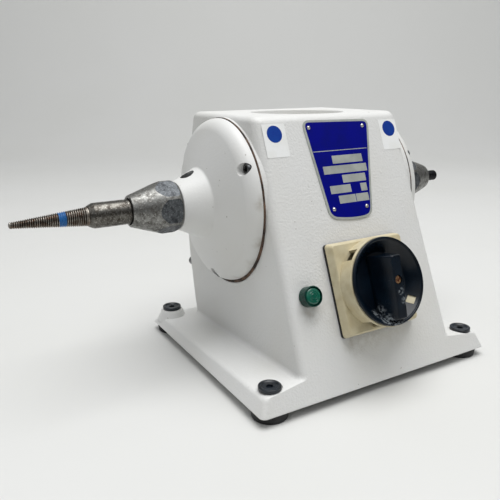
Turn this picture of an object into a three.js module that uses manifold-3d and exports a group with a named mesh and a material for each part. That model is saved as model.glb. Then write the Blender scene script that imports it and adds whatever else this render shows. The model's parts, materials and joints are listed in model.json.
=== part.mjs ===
// Bench polishing lathe for a dental laboratory: a double-ended motor in a leaning cast housing,
// with a taper spindle on the left, a plain arbor on the right and a rotary switch on the front.
// Millimetres, +Z up, +X along the shaft to the right, -Y towards the person who works at it.
import * as THREE from "three";
import { mergeVertices } from "three/addons/utils/BufferGeometryUtils.js";
import Module from "manifold-3d";

const wasm = await Module();
wasm.setup();

// Clearances that every pair of neighbours shares
const seatGap = 0.3;
const cutOverrun = 1;
const weldTolerance = cutOverrun / 10000;
const degree = Math.PI / 180;

// Numbers of sides of round pieces
const wideSides = 24;
const mediumSides = 14;
const innerSides = 12;
const smallSides = 8;
const screwSides = 6;
const capSides = 10;
const hexSides = 6;
const cornerSteps = 2;
const arcSteps = 3;
const ballSides = 5;
const ballRings = 3;

// Housing: the base plan, the leaning front, the bulging back and the drafted side walls
const baseWidth = 205;
const baseFrontReach = 115.4;
const baseRearReach = 70.3;
const baseLift = 6.4;
const baseCornerRadius = 4;
const frontLean = 22.23 * degree;
const housingHeight = 185.7;
const flangeWidth = 34.6;
const wallFootWidth = baseWidth - 2 * flangeWidth;
const wallDraft = 1.27 * degree;
const wallThickness = 5;
const wallHoleDepth = 10;
const roofThickness = 5;
const frontCornerRadius = 5;
const rearCornerRadius = 2;
const topEdgeRadius = 4.5;
const topCornerRadius = 1;
const bulgeRadius = 262;
const bulgeHeight = 101;
const bulgeReach = 66.2;
const cavityCornerRadius = 3.5;
const wallRings = 5;

// Flanges: side bands up to a ridge, then a top that climbs to the wall and falls to the back
const ridgeInset = 4.9;
const ridgeFrontHeight = 18.2;
const ridgeRearHeight = 12.6;
const flangeFrontHeight = 21.6;
const flangeRearHeight = 13.6;
const wallFilletRadius = 3;
const firstRingRise = 9;
const filletSteps = 2;

// Motor barrel cast inside the housing, with a machined face and three screw bosses at each end
const shaftHeight = 122.4;
const barrelBoreRadius = 50.3;
const barrelWall = 4.7;
const sealFaceProud = 0.52;
const sealFaceRadius = 61.2;
const spotFaceRadius = 63.5;
const bellScrewCircle = 56.5;
const bellScrewCount = 3;
const bellScrewTurn = 60 * degree;
const bellBossRadius = 4.6;
const bellBossLength = 18;
const bellScrewHoleDepth = 15;
const leadSlotWidth = 24;
const leadSlotLength = 40;

// Round recess in the roof, for a tin of polishing compound
const recessRadius = 36;
const recessDepth = 8;
const recessFloor = 3;
const recessWall = 3;
const recessRoofLap = 2;
const recessEdgeChamfer = 0.8;

// End bells with their noses, and the seals under them
const sealThickness = 0.8;
const bellRadius = 60.7;
const bellEdgeWidth = 13;
const bellEdgeDepth = 11;
const bellFaceAngle = 19 * degree;
const bellWall = 4.6;
const bellInnerRadius = 45.9;
const spigotLength = 5;
const noseRootRadius = 26;
const noseTipRadius = 17.4;
const noseReach = 39.3;
const noseFilletLength = 2.6;
const noseEdge = 0.5;
const noseBoreRadius = 15;
const hubRadius = 24.5;
const counterboreRadius = 5.2;
const counterboreReach = 4;
const pinHoleRadius = 5;
const boltRadius = 2.5;
const boltHeadRadius = 4.25;
const boltHeadHeight = 4.5;
const boltSocketRadius = 2.3;
const boltSocketDepth = 2.5;
const pinHoleInset = 10.2;

// Bearings: a 17 by 40 by 12 mm ball bearing at each end
const bearingOuterRadius = 20;
const bearingOuterBore = 16.7;
const bearingInnerRadius = 11.7;
const bearingBore = 8.5;
const bearingWidth = 12;
const bearingInset = 17.2;
const ballRadius = 2;
const ballCount = 7;
const cageWidth = 2;
const cageThickness = 1.6;

// Rotor, stator and the turned shaft
const statorLength = 64;
const statorBoreRadius = 30;
const statorSlotCount = 18;
const statorSlotDepth = 11;
const statorSlotWidthShare = 0.5;
const windingLength = 17;
const windingWall = 12;
const windingMargin = 1.2;
const windingSoftness = 3;
const rotorAirGap = 0.5;
const rotorEndRing = 6;
const rotorBladeLength = 7;
const rotorBladeCount = 8;
const rotorBladeThickness = 2.4;
const rotorBladeHeight = 9;
const shaftCoreRadius = 11;
const shaftShoulderRadius = 10;
const shaftCoreMargin = 4;
const shaftEndRadius = 8;
const shaftProud = 2.2;
const shaftChamfer = 0.8;

// Spindle nose on each shaft end: a collar with cross holes and a threaded part for the nut
const collarRadius = 14.4;
const collarClearance = 0.6;
const collarHoleRadius = 4.6;
const threadRadius = 12;
const threadReach = 22.5;
const taperDepth = 15;
const taperInnerRadius = 9.3;
const taperOuterRadius = 11.1;

// Collet nut: a cone with six flats milled into its large end
const nutClearance = 0.8;
const nutLength = 34;
const nutRadius = 18.9;
const nutEndRadius = 11.2;
const nutLandLength = 10.7;
const nutChamferLength = 1.8;
const nutChamferDrop = 1.7;
const nutAcrossFlats = 33.8;
const nutMouthRadius = 9.3;
const nutFlatTurn = 14 * degree;
const nutEndEdge = 0.4;

// Collets
const colletInset = 1.1;
const colletSlotCount = 3;
const colletSlotWidth = 0.9;
const colletSlotDepth = 19;

// Tools in the collets
const shankRadius = 8;
const shankOuterRadius = 8.7;
const shankStart = 2;
const shankProud = 24.9;
const shankChamferLength = 3.9;
const shankChamferRadius = 7;
const taperNeckRadius = 6.5;
const taperLength = 52.8;
const taperTipRadius = 2.1;
const taperPoint = 1.1;
const arborRadius = 4.6;
const arborProud = 17.2;
const arborEdge = 1.2;

// Rear access window and its curved sheet cover
const windowSideMargin = 18;
const windowEndMargin = 15;
const windowCornerRadius = 5;
const coverSideInset = 1.9;
const coverAboveGland = 16;
const coverAboveShaft = 40.6;
const coverThickness = 1.5;
const coverCornerRadius = 4;
const coverScrewSideInset = 3.7;
const coverLowScrewInset = 10;
const coverHighScrewInset = 6;
const coverArcSteps = 8;
const coverScrewRadius = 1.9;
const coverScrewHeadRadius = 3.2;
const coverScrewHeadHeight = 2.4;
const coverScrewLength = 9;
const coverScrewHoleDepth = 11;
const panHeadSlopeShare = 1 / 3;

// Bottom plate
const plateRebateWidth = 8;
const plateFrontRebate = 2;
const plateThickness = 1.5;
const plateScrewInset = 6;
const plateScrewRadius = 1.9;
const plateScrewHeadRadius = 3.6;
const plateScrewHeadHeight = 2.2;
const plateScrewLength = 9;
const plateScrewHoleDepth = 11;
const plateVentCount = 4;
const plateVentWidth = 5;
const plateVentLength = 44;
const plateVentPitch = 13;

// Rubber feet and the dished caps of their screws
const footSideInset = 14;
const footFrontInset = 13.6;
const footRearInset = 11.6;
const footRadius = 12.75;
const footBottomRadius = 12;
const footEdge = 1;
const footEdgeInset = 0.5;
const footScrewRadius = 2.7;
const footScrewTip = 2.4;
const capRadius = 7.7;
const capThickness = 2.5;
const capSeatHeight = 18.9;
const capRim = 1.3;
const capRimSlope = 1.3;
const capDish = 1;
const capSocketRadius = 2.3;
const capSocketDepth = 1.2;
const spotFaceMargin = 0.8;
const footBossRadius = 11.2;
const footBossTopRadius = 8.7;

// Rotary switch: places are measured on the front face, from its bottom edge
const switchAcross = 1.5;
const switchDrop = 52.6;
const switchPlateWidth = 65;
const switchPlateCorner = 2.2;
const switchGasketThickness = 1.7;
const switchPlateFront = 9;
const switchPlateBevel = 1.6;
const switchWellFloor = 5.65;
const switchCollarRadius = 31;
const switchCollarWall = 2.6;
const switchCollarFront = 20.8;
const padlockSlotWidth = 14;
const padlockSlotHeight = 8;
const padlockSlotCount = 3;
const padlockSlotTurn = 148 * degree;
const handleRadius = 30.4;
const handleRimFront = 23.2;
const handleRimWidth = 2.2;
const handleRimLine = 0.8;
const handleCupRadius = 27.6;
const handleFloor = 14;
const handleFloorThickness = 2.4;
const handleWallLean = 1.6;
const handleFloorLean = 3.2;
const gripFront = 34;
const gripLowFront = 28.5;
const gripTop = 16.6;
const gripHalfWidth = 4;
const gripFootHalfWidth = 9.2;
const gripFootRise = 2.4;
const gripCorner = 1.2;
const gripEdge = 0.6;
const markWindowWidth = 8;
const markWindowLength = 7;
const markWindowPlace = 20.5;
const handleScrewRadius = 1.6;
const handleScrewHeadRadius = 2.3;
const handleScrewHeadDepth = 2.6;
const handleScrewSeatDepth = 1.15;
const handleScrewLength = 13;
const switchStemWidth = 6;
const switchStemEnd = 18.5;
const switchStemRear = 12;
const stemPassageRadius = 6;
const switchBodyWidth = 46;
const switchBodyLength = 42;
const switchBodyCorner = 4;
const switchMountRadius = 10;
const switchTierCount = 3;
const switchTierGroove = 1;

// Pilot lamp
const lampStripShare = 0.655;
const lampRise = 0.5;
const lampHoleRadius = 5.2;
const lampFlangeRadius = 7;
const lampFlangeThickness = 1.6;
const lampLensRadius = 5.9;
const lampFront = 8;
const lampLensEdge = 1.6;
const lampRimWidth = 0.9;
const lampRimEdge = 0.45;
const lampSocketRadius = 4;
const lampBodyLength = 24;

// Cable gland, capacitor and terminal block
const glandHeight = 31;
const glandBodyRadius = 6;
const glandNutRadius = 8.4;
const glandNutLength = 5;
const glandShoulderRadius = 7.2;
const glandDomeLength = 6.5;
const glandShoulderLength = 3.25;
const glandDomeRadius = 5.4;
const glandBoreRadius = 3.4;
const glandInnerLength = 9;
const capacitorRadius = 17;
const capacitorLength = 68;
const capacitorInset = 34.2;
const capacitorEdge = 1.5;
const capacitorStudRadius = 4;
const capacitorStudLength = 5;
const blockClearance = 11.9;
const blockSpacing = 47;
const blockLength = 42;
const blockDepth = 17;
const blockHeight = 14;
const blockPoles = 4;
const blockPoleRadius = 2.1;
const blockPoleDepth = 6;

// Front plane, back arc and side walls of the housing, as functions of the height
const frontAt = (height) => -baseFrontReach + (height - baseLift) * Math.tan(frontLean);
const backAt = (height) =>
  bulgeReach - bulgeRadius + Math.sqrt(bulgeRadius ** 2 - (height - bulgeHeight) ** 2);
const sideAt = (height) =>
  wallFootWidth / 2 - (height - flangeFrontHeight) * Math.tan(wallDraft);

// Stations along the shaft: all follow from the side wall, so a wider housing moves them outwards
const barrelRadius = barrelBoreRadius + barrelWall;
const sealFaceReach = sideAt(shaftHeight) + sealFaceProud;
const bellSeat = sealFaceReach + seatGap + sealThickness + seatGap;
const counterboreFloor = sealFaceReach + counterboreReach;
const noseEnd = sealFaceReach + noseReach;
const pinHolePlace = noseEnd - pinHoleInset;
const bearingEnd = noseEnd - bearingInset;
const bearingStart = bearingEnd - bearingWidth;
const shaftEnd = noseEnd + shaftProud;
const collarStart = bearingEnd + collarClearance;
const collarEnd = noseEnd - collarClearance;
const threadEnd = noseEnd + threadReach;
const taperStart = threadEnd - taperDepth;
const nutStart = noseEnd + nutClearance;
const nutLandEnd = nutStart + nutLandLength;
const nutEnd = nutStart + nutLength;
const colletEnd = nutEnd - colletInset;
const shankInnerEnd = taperStart + shankStart;
const shankEnd = nutEnd + shankProud;
const taperEnd = shankEnd + taperLength;
const arborEnd = nutEnd + arborProud;

// Rear window and cover: as wide as the walls allow, between the gland and the top of the motor
const coverHalfWidth = wallFootWidth / 2 - coverSideInset;
const coverBottom = glandHeight + coverAboveGland;
const coverTop = shaftHeight + coverAboveShaft;
const coverScrewReach = coverHalfWidth - coverScrewSideInset;
const windowHalfWidth = coverHalfWidth - windowSideMargin;
const windowBottom = coverBottom + windowEndMargin;
const windowTop = coverTop - windowEndMargin;
const coverScrewPlaces = [
  [-1, coverBottom + coverLowScrewInset],
  [1, coverBottom + coverLowScrewInset],
  [-1, coverTop - coverHighScrewInset],
  [1, coverTop - coverHighScrewInset],
].map(([hand, height]) => ({ x: hand * coverScrewReach, height }));

// Bottom plate in its rebate, and what stands on it
const plateSeat = baseLift + seatGap + plateThickness + seatGap;
const plateTop = baseLift + seatGap + plateThickness;
const plateHalfWidth = sideAt(baseLift) - wallThickness + plateRebateWidth - seatGap;
const plateFront = frontAt(baseLift) + wallThickness / Math.cos(frontLean) - plateFrontRebate;
const plateBack = backAt(baseLift) - wallThickness + plateRebateWidth - seatGap;
const capacitorPlace = plateBack - capacitorInset;
const blockPlace = capacitorPlace - blockSpacing;
const blockAcross = -(wallFootWidth / 2 - wallThickness - blockLength / 2 - blockClearance);

// Switch and pilot lamp, side by side on the leaning front
const heightUpFront = (up) => baseLift + up * Math.cos(frontLean);
const switchUp = (shaftHeight - switchDrop - baseLift) / Math.cos(frontLean);
const lampUp = switchUp + lampRise;
const lampStripStart = switchPlateWidth / 2 - switchAcross;
const lampStripEnd = sideAt(heightUpFront(lampUp)) - wallThickness;
const lampAcross = -(lampStripStart + lampStripShare * (lampStripEnd - lampStripStart));
const gripBottom = -handleCupRadius + gripCorner;
const gripFallShare = (0 - gripBottom) / (gripTop - gripBottom);
const gripFrontAtAxis = gripLowFront + (gripFront - gripLowFront) * gripFallShare;

// Surfaces, with their colours as the photograph shows them
const surface = (colour, roughness, metalness) =>
  new THREE.MeshStandardMaterial({ color: colour, roughness, metalness });
const paint = surface("#e4e4e0", 0.55, 0);
const machinedSteel = surface("#8d8780", 0.4, 1);
const brightSteel = surface("#b9b7b2", 0.3, 1);
const blackOxide = surface("#24231f", 0.5, 0.7);
const seal = surface("#4a2f22", 0.85, 0);
const blackPlastic = surface("#101114", 0.35, 0);
const ivoryPlastic = surface("#d8cca4", 0.5, 0);
const greenLens = surface("#0f5a3c", 0.2, 0);
const blackRubber = surface("#16161a", 0.8, 0);
const lamination = surface("#5d5f63", 0.5, 0.9);
const copper = surface("#9a4f24", 0.45, 0.8);
const aluminium = surface("#a9abad", 0.45, 1);
const brass = surface("#8a5f35", 0.45, 1);
const greyPlastic = surface("#5b5d60", 0.6, 0);

// Turns a closed three.js geometry into a solid that can be joined and cut.
function solid(geometry) {
  const bare = geometry.clone();
  bare.deleteAttribute("normal");
  bare.deleteAttribute("uv");
  const merged = mergeVertices(bare, weldTolerance);
  const triVerts = new Uint32Array(merged.index.array);
  const vertProperties = merged.attributes.position.array;
  const made = new wasm.Manifold(new wasm.Mesh({ numProp: 3, vertProperties, triVerts }));
  if (made.volume() > 0) return made;
  for (let i = 0; i < triVerts.length; i += 3) {
    const second = triVerts[i + 1];
    triVerts[i + 1] = triVerts[i + 2];
    triVerts[i + 2] = second;
  }
  return new wasm.Manifold(new wasm.Mesh({ numProp: 3, vertProperties, triVerts }));
}

// Gives a named mesh back from a solid.
function piece(name, made, material) {
  const mesh = made.getMesh();
  const geometry = new THREE.BufferGeometry();
  geometry.setAttribute("position", new THREE.BufferAttribute(mesh.vertProperties, mesh.numProp));
  geometry.setIndex(new THREE.BufferAttribute(mesh.triVerts, 1));
  geometry.computeVertexNormals();
  const node = new THREE.Mesh(geometry, material);
  node.name = name;
  return node;
}

const joined = (solids) => solids.reduce((all, one) => all.add(one));
const cutBy = (body, tools) => tools.reduce((left, tool) => left.subtract(tool), body);

// A block from its least to its greatest corner.
function block(low, high) {
  const size = high.map((value, axis) => value - low[axis]);
  const geometry = new THREE.BoxGeometry(...size);
  geometry.translate(...high.map((value, axis) => (value + low[axis]) / 2));
  return geometry;
}

// A round bar along Z from one height to another.
function bar(radius, from, to, sides = mediumSides) {
  const geometry = new THREE.CylinderGeometry(radius, radius, to - from, sides);
  geometry.rotateX(Math.PI / 2);
  geometry.translate(0, 0, (from + to) / 2);
  return geometry;
}

// Turned round Z from [radius, height] points, closed on itself or ending on the axis.
function turned(points, sides = mediumSides) {
  const profile = points.map(([radius, height]) => new THREE.Vector2(radius, height));
  const first = profile[0];
  const last = profile[profile.length - 1];
  if (first.x > 0 || last.x > 0) profile.push(first.clone());
  const geometry = new THREE.LatheGeometry(profile, sides);
  geometry.rotateX(Math.PI / 2);
  return geometry;
}

// Stands a shape drawn round Z along the shaft, outwards on the right (side 1) or left (side -1).
function alongShaft(geometry, side) {
  geometry.rotateY((side * Math.PI) / 2);
  geometry.translate(0, 0, shaftHeight);
  return geometry;
}

// Skin over rings of equally many points, with flat ends.
function loft(rings) {
  const count = rings[0].length;
  const positions = rings.flat().flatMap((point) => [point.x, point.y, point.z]);
  const index = [];
  for (let ring = 0; ring + 1 < rings.length; ring++) {
    for (let i = 0; i < count; i++) {
      const next = (i + 1) % count;
      const low = ring * count;
      const high = low + count;
      index.push(low + i, low + next, high + next);
      index.push(low + i, high + next, high + i);
    }
  }
  const outline = rings[0].map((point) => new THREE.Vector2(point.x, point.y));
  const lid = (rings.length - 1) * count;
  for (const [a, b, c] of THREE.ShapeUtils.triangulateShape(outline, [])) {
    index.push(a, c, b);
    index.push(lid + a, lid + b, lid + c);
  }
  const geometry = new THREE.BufferGeometry();
  geometry.setAttribute("position", new THREE.Float32BufferAttribute(positions, 3));
  geometry.setIndex(index);
  return geometry;
}

// Rounded rectangle as a three.js shape.
function roundedShape(left, bottom, right, top, radius) {
  const shape = new THREE.Shape();
  shape.moveTo(left + radius, bottom);
  shape.lineTo(right - radius, bottom);
  shape.absarc(right - radius, bottom + radius, radius, -Math.PI / 2, 0);
  shape.lineTo(right, top - radius);
  shape.absarc(right - radius, top - radius, radius, 0, Math.PI / 2);
  shape.lineTo(left + radius, top);
  shape.absarc(left + radius, top - radius, radius, Math.PI / 2, Math.PI);
  shape.lineTo(left, bottom + radius);
  shape.absarc(left + radius, bottom + radius, radius, Math.PI, 1.5 * Math.PI);
  return shape;
}

// Extrudes a shape along Z between two heights.
function extruded(shape, from, to) {
  const geometry = new THREE.ExtrudeGeometry(shape, {
    depth: to - from,
    bevelEnabled: false,
    curveSegments: cornerSteps,
  });
  geometry.translate(0, 0, from);
  return geometry;
}

// One level outline of the housing: it may lie lower at the back than at the front.
function ring({ lowFront, lowBack, side, front, back, frontRadius, backRadius }) {
  const corners = [
    [1, back - backRadius, backRadius, 0],
    [-1, back - backRadius, backRadius, 1],
    [-1, front + frontRadius, frontRadius, 2],
    [1, front + frontRadius, frontRadius, 3],
  ];
  const points = [];
  for (const [hand, y, radius, quarter] of corners) {
    for (let step = 0; step <= cornerSteps; step++) {
      const angle = ((quarter + step / cornerSteps) * Math.PI) / 2;
      const py = y + radius * Math.sin(angle);
      const share = (py - front) / (back - front);
      const height = lowFront + (lowBack - lowFront) * share;
      const px = hand * (side(height) - radius) + radius * Math.cos(angle);
      points.push(new THREE.Vector3(px, py, height));
    }
  }
  return points;
}

function housingSkin() {
  const rings = [];
  const flat = (half) => () => half;
  rings.push(
    ring({
      lowFront: baseLift,
      lowBack: baseLift,
      side: flat(baseWidth / 2),
      front: frontAt(baseLift),
      back: baseRearReach,
      frontRadius: baseCornerRadius,
      backRadius: baseCornerRadius,
    }),
  );
  rings.push(
    ring({
      lowFront: ridgeFrontHeight,
      lowBack: ridgeRearHeight,
      side: flat(baseWidth / 2 - ridgeInset),
      front: frontAt(ridgeFrontHeight),
      back: baseRearReach - ridgeInset,
      frontRadius: baseCornerRadius,
      backRadius: baseCornerRadius,
    }),
  );
  for (let step = 0; step <= filletSteps; step++) {
    const angle = ((step / filletSteps) * Math.PI) / 2;
    const away = wallFilletRadius * (1 - Math.sin(angle));
    const rise = wallFilletRadius * (1 - Math.cos(angle));
    rings.push(
      ring({
        lowFront: flangeFrontHeight + rise,
        lowBack: flangeRearHeight + rise,
        side: (height) => sideAt(height) + away,
        front: frontAt(flangeFrontHeight + rise),
        back: backAt(flangeRearHeight + rise) + away,
        frontRadius: frontCornerRadius,
        backRadius: rearCornerRadius + away,
      }),
    );
  }
  const straightTop = housingHeight - topEdgeRadius;
  const firstLevel = flangeFrontHeight + firstRingRise;
  for (let level = 0; level <= wallRings; level++) {
    const height = firstLevel + ((straightTop - firstLevel) * level) / wallRings;
    rings.push(
      ring({
        lowFront: height,
        lowBack: height,
        side: sideAt,
        front: frontAt(height),
        back: backAt(height),
        frontRadius: frontCornerRadius,
        backRadius: rearCornerRadius,
      }),
    );
  }
  for (let step = 1; step <= cornerSteps; step++) {
    const angle = ((step / cornerSteps) * Math.PI) / 2;
    const inset = topEdgeRadius * (1 - Math.cos(angle));
    const height = straightTop + topEdgeRadius * Math.sin(angle);
    rings.push(
      ring({
        lowFront: height,
        lowBack: height,
        side: (level) => sideAt(level) - inset,
        front: frontAt(height) + inset,
        back: backAt(height) - inset,
        frontRadius: Math.max(frontCornerRadius - inset, topCornerRadius),
        backRadius: Math.max(rearCornerRadius - inset, topCornerRadius),
      }),
    );
  }
  return solid(loft(rings));
}

function housingCavity() {
  const rings = [];
  const roof = housingHeight - roofThickness;
  const floor = baseLift - cutOverrun;
  for (let level = 0; level <= wallRings; level++) {
    const height = floor + ((roof - floor) * level) / wallRings;
    rings.push(
      ring({
        lowFront: height,
        lowBack: height,
        side: (at) => sideAt(at) - wallThickness,
        front: frontAt(height) + wallThickness / Math.cos(frontLean),
        back: backAt(height) - wallThickness,
        frontRadius: cavityCornerRadius,
        backRadius: cavityCornerRadius,
      }),
    );
  }
  return solid(loft(rings));
}

// Places round the shaft at which the screws of a bell stand, as [y, height above the axis].
function bellScrewPlaces() {
  const places = [];
  for (let i = 0; i < bellScrewCount; i++) {
    const angle = bellScrewTurn + (i * 2 * Math.PI) / bellScrewCount;
    places.push([-bellScrewCircle * Math.sin(angle), bellScrewCircle * Math.cos(angle)]);
  }
  return places;
}

const footPlaces = [
  [-1, -1],
  [1, -1],
  [-1, 1],
  [1, 1],
].map(([hand, end]) => ({
  x: hand * (baseWidth / 2 - footSideInset),
  y: end < 0 ? -baseFrontReach + footFrontInset : baseRearReach - footRearInset,
}));
const plateScrewPlaces = [
  [-1, plateFront],
  [1, plateFront],
  [-1, plateBack],
  [1, plateBack],
].map(([hand, edge]) => ({
  x: hand * (plateHalfWidth - plateScrewInset),
  y: edge + (edge < 0 ? plateScrewInset : -plateScrewInset),
}));

// Angle by which the back leans at a height, and the turn that stands a Z-drawn shape out of it
const backTurn = (height) => Math.asin((height - bulgeHeight) / bulgeRadius);
function outOfBack(geometry, x, height) {
  const lean = backTurn(height);
  geometry.rotateX(-Math.PI / 2 + lean);
  geometry.translate(x, backAt(height), height);
  return geometry;
}

// Lays a shape drawn round Z on the leaning front: x across, y up the face, z out of it.
function onFront(geometry, across, up) {
  geometry.translate(across, up, 0);
  geometry.rotateX(Math.PI / 2 - frontLean);
  geometry.translate(0, -baseFrontReach, baseLift);
  return geometry;
}

function housing() {
  const grown = [];
  grown.push(solid(alongShaft(bar(barrelRadius, -sealFaceReach, sealFaceReach, wideSides), 1)));
  for (const side of [-1, 1]) {
    const sealFace = bar(sealFaceRadius, sealFaceReach - wallThickness, sealFaceReach, wideSides);
    grown.push(solid(alongShaft(sealFace, side)));
    for (const [y, up] of bellScrewPlaces()) {
      const boss = bar(bellBossRadius, sealFaceReach - bellBossLength, sealFaceReach, smallSides);
      boss.rotateY((side * Math.PI) / 2);
      boss.translate(0, y, shaftHeight + up);
      grown.push(solid(boss));
    }
  }
  const recessBottom = housingHeight - recessDepth;
  const panTop = housingHeight - roofThickness + recessRoofLap;
  const pan = bar(recessRadius + recessWall, recessBottom - recessFloor, panTop, wideSides);
  grown.push(solid(pan));
  const skin = housingSkin();
  const shell = skin.subtract(housingCavity());
  const inside = joined(grown);
  const cuts = [];
  cuts.push(solid(alongShaft(bar(barrelBoreRadius, -baseWidth, baseWidth, wideSides), 1)));
  for (const side of [-1, 1]) {
    const spot = bar(spotFaceRadius, sealFaceReach, baseWidth / 2, wideSides);
    const above = block(
      [-baseWidth, -baseWidth, flangeFrontHeight + wallFilletRadius],
      [baseWidth, baseWidth, housingHeight],
    );
    cuts.push(solid(alongShaft(spot, side)).intersect(solid(above)));
    for (const [y, up] of bellScrewPlaces()) {
      const depth = sealFaceReach - bellScrewHoleDepth;
      const hole = bar(boltRadius + seatGap, depth, sealFaceReach + cutOverrun, screwSides);
      hole.rotateY((side * Math.PI) / 2);
      hole.translate(0, y, shaftHeight + up);
      cuts.push(solid(hole));
    }
  }
  cuts.push(
    solid(
      turned(
        [
          [0, recessBottom],
          [recessRadius, recessBottom],
          [recessRadius, housingHeight - recessEdgeChamfer],
          [recessRadius + recessEdgeChamfer, housingHeight],
          [recessRadius + recessEdgeChamfer, housingHeight + cutOverrun],
          [0, housingHeight + cutOverrun],
        ],
        wideSides,
      ),
    ),
  );
  cuts.push(
    solid(
      block(
        [-leadSlotLength / 2, -leadSlotWidth / 2, shaftHeight - barrelRadius - cutOverrun],
        [leadSlotLength / 2, leadSlotWidth / 2, shaftHeight - barrelBoreRadius + cutOverrun],
      ),
    ),
  );
  const window = extruded(
    roundedShape(-windowHalfWidth, windowBottom, windowHalfWidth, windowTop, windowCornerRadius),
    -bulgeReach - cutOverrun,
    -barrelRadius - cutOverrun,
  );
  window.rotateX(Math.PI / 2);
  cuts.push(solid(window));
  for (const { x, height } of coverScrewPlaces) {
    const hole = bar(coverScrewRadius + seatGap, -coverScrewHoleDepth, cutOverrun, screwSides);
    cuts.push(solid(outOfBack(hole, x, height)));
  }
  cuts.push(
    solid(
      block(
        [-plateHalfWidth - seatGap, plateFront - seatGap, baseLift - cutOverrun],
        [plateHalfWidth + seatGap, plateBack + seatGap, plateSeat],
      ),
    ),
  );
  for (const { x, y } of plateScrewPlaces) {
    const hole = bar(
      plateScrewRadius + seatGap,
      baseLift - cutOverrun,
      plateSeat + plateScrewHoleDepth,
      screwSides,
    );
    hole.translate(x, y, 0);
    cuts.push(solid(hole));
  }
  for (const { x, y } of footPlaces) {
    const hole = bar(footScrewRadius + seatGap, 0, shaftHeight / 2, capSides);
    hole.translate(x, y, 0);
    cuts.push(solid(hole));
    const spot = bar(capRadius + spotFaceMargin, capSeatHeight, shaftHeight / 2, capSides);
    spot.translate(x, y, 0);
    cuts.push(solid(spot));
  }
  const switchHole = bar(switchMountRadius + seatGap, -wallHoleDepth, cutOverrun);
  cuts.push(solid(onFront(switchHole, switchAcross, switchUp)));
  const lampHole = bar(lampHoleRadius + seatGap, -lampBodyLength - seatGap, cutOverrun);
  cuts.push(solid(onFront(lampHole, lampAcross, lampUp)));
  const glandHole = bar(glandBodyRadius + seatGap, -wallHoleDepth, cutOverrun, smallSides);
  cuts.push(solid(outOfBack(glandHole, 0, glandHeight)));
  const bosses = footPlaces
    .filter(({ y }) => y > 0)
    .map(({ x, y }) => {
      const boss = turned(
        [
          [0, ridgeRearHeight - wallFilletRadius],
          [footBossRadius, ridgeRearHeight - wallFilletRadius],
          [footBossRadius, ridgeRearHeight],
          [footBossTopRadius, capSeatHeight],
          [0, capSeatHeight],
        ],
        capSides,
      );
      boss.translate(x, y, 0);
      return solid(boss);
    });
  return piece("housing", cutBy(joined([shell, inside, ...bosses]), cuts), paint);
}

function bottomPlate() {
  const corner = cavityCornerRadius;
  const shape = roundedShape(-plateHalfWidth, plateFront, plateHalfWidth, plateBack, corner);
  const sheet = solid(extruded(shape, baseLift + seatGap, baseLift + seatGap + plateThickness));
  const cuts = [];
  for (const { x, y } of plateScrewPlaces) {
    const hole = bar(plateScrewRadius + seatGap, 0, shaftHeight, screwSides);
    hole.translate(x, y, 0);
    cuts.push(solid(hole));
  }
  for (let i = 0; i < plateVentCount; i++) {
    const x = (i - (plateVentCount - 1) / 2) * plateVentPitch;
    const middle = (plateFront + plateBack) / 2;
    const slot = roundedShape(
      x - plateVentWidth / 2,
      middle - plateVentLength / 2,
      x + plateVentWidth / 2,
      middle + plateVentLength / 2,
      plateVentWidth / 2 - seatGap,
    );
    cuts.push(solid(extruded(slot, 0, shaftHeight)));
  }
  return piece("bottom_plate", cutBy(sheet, cuts), aluminium);
}

// A pan-head screw drawn round Z: the head stands on height zero and the shank goes down.
function panScrew(radius, length, headRadius, headHeight) {
  return turned(
    [
      [0, -length],
      [radius, -length],
      [radius, 0],
      [headRadius, 0],
      [headRadius - headHeight * panHeadSlopeShare, headHeight],
      [0, headHeight],
    ],
    screwSides,
  );
}

function bottomPlateScrews() {
  return plateScrewPlaces.map(({ x, y }, i) => {
    const screw = panScrew(
      plateScrewRadius,
      plateScrewLength,
      plateScrewHeadRadius,
      plateScrewHeadHeight,
    );
    screw.rotateX(Math.PI);
    screw.translate(x, y, baseLift);
    return piece(`bottom_plate_screw_${i + 1}`, solid(screw), brightSteel);
  });
}

// The cover follows the back: its section is an arc band, cut to a rounded rectangle.
function rearCover() {
  const inner = bulgeRadius + seatGap;
  const outer = inner + coverThickness;
  const from = Math.asin((coverBottom - bulgeHeight) / bulgeRadius);
  const to = Math.asin((coverTop - bulgeHeight) / bulgeRadius);
  const points = [];
  for (let i = 0; i <= coverArcSteps; i++) {
    const angle = from + ((to - from) * i) / coverArcSteps;
    points.push(new THREE.Vector2(outer * Math.cos(angle), outer * Math.sin(angle)));
  }
  for (let i = coverArcSteps; i >= 0; i--) {
    const angle = from + ((to - from) * i) / coverArcSteps;
    points.push(new THREE.Vector2(inner * Math.cos(angle), inner * Math.sin(angle)));
  }
  const band = extruded(new THREE.Shape(points), -coverHalfWidth, coverHalfWidth);
  band.rotateX(Math.PI / 2);
  band.rotateZ(Math.PI / 2);
  band.translate(0, bulgeReach - bulgeRadius, bulgeHeight);
  const outline = extruded(
    roundedShape(
      -coverHalfWidth,
      bulgeHeight + outer * Math.sin(from),
      coverHalfWidth,
      bulgeHeight + inner * Math.sin(to),
      coverCornerRadius,
    ),
    -bulgeRadius,
    0,
  );
  outline.rotateX(Math.PI / 2);
  const cuts = coverScrewPlaces.map(({ x, height }) => {
    const through = seatGap + coverThickness + cutOverrun;
    const hole = bar(coverScrewRadius + seatGap, -cutOverrun, through, screwSides);
    return solid(outOfBack(hole, x, height));
  });
  return piece("rear_cover", cutBy(solid(band).intersect(solid(outline)), cuts), paint);
}

function rearCoverScrews() {
  return coverScrewPlaces.map(({ x, height }, i) => {
    const screw = panScrew(
      coverScrewRadius,
      coverScrewLength,
      coverScrewHeadRadius,
      coverScrewHeadHeight,
    );
    screw.translate(0, 0, 2 * seatGap + coverThickness);
    return piece(`rear_cover_screw_${i + 1}`, solid(outOfBack(screw, x, height)), blackOxide);
  });
}

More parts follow.
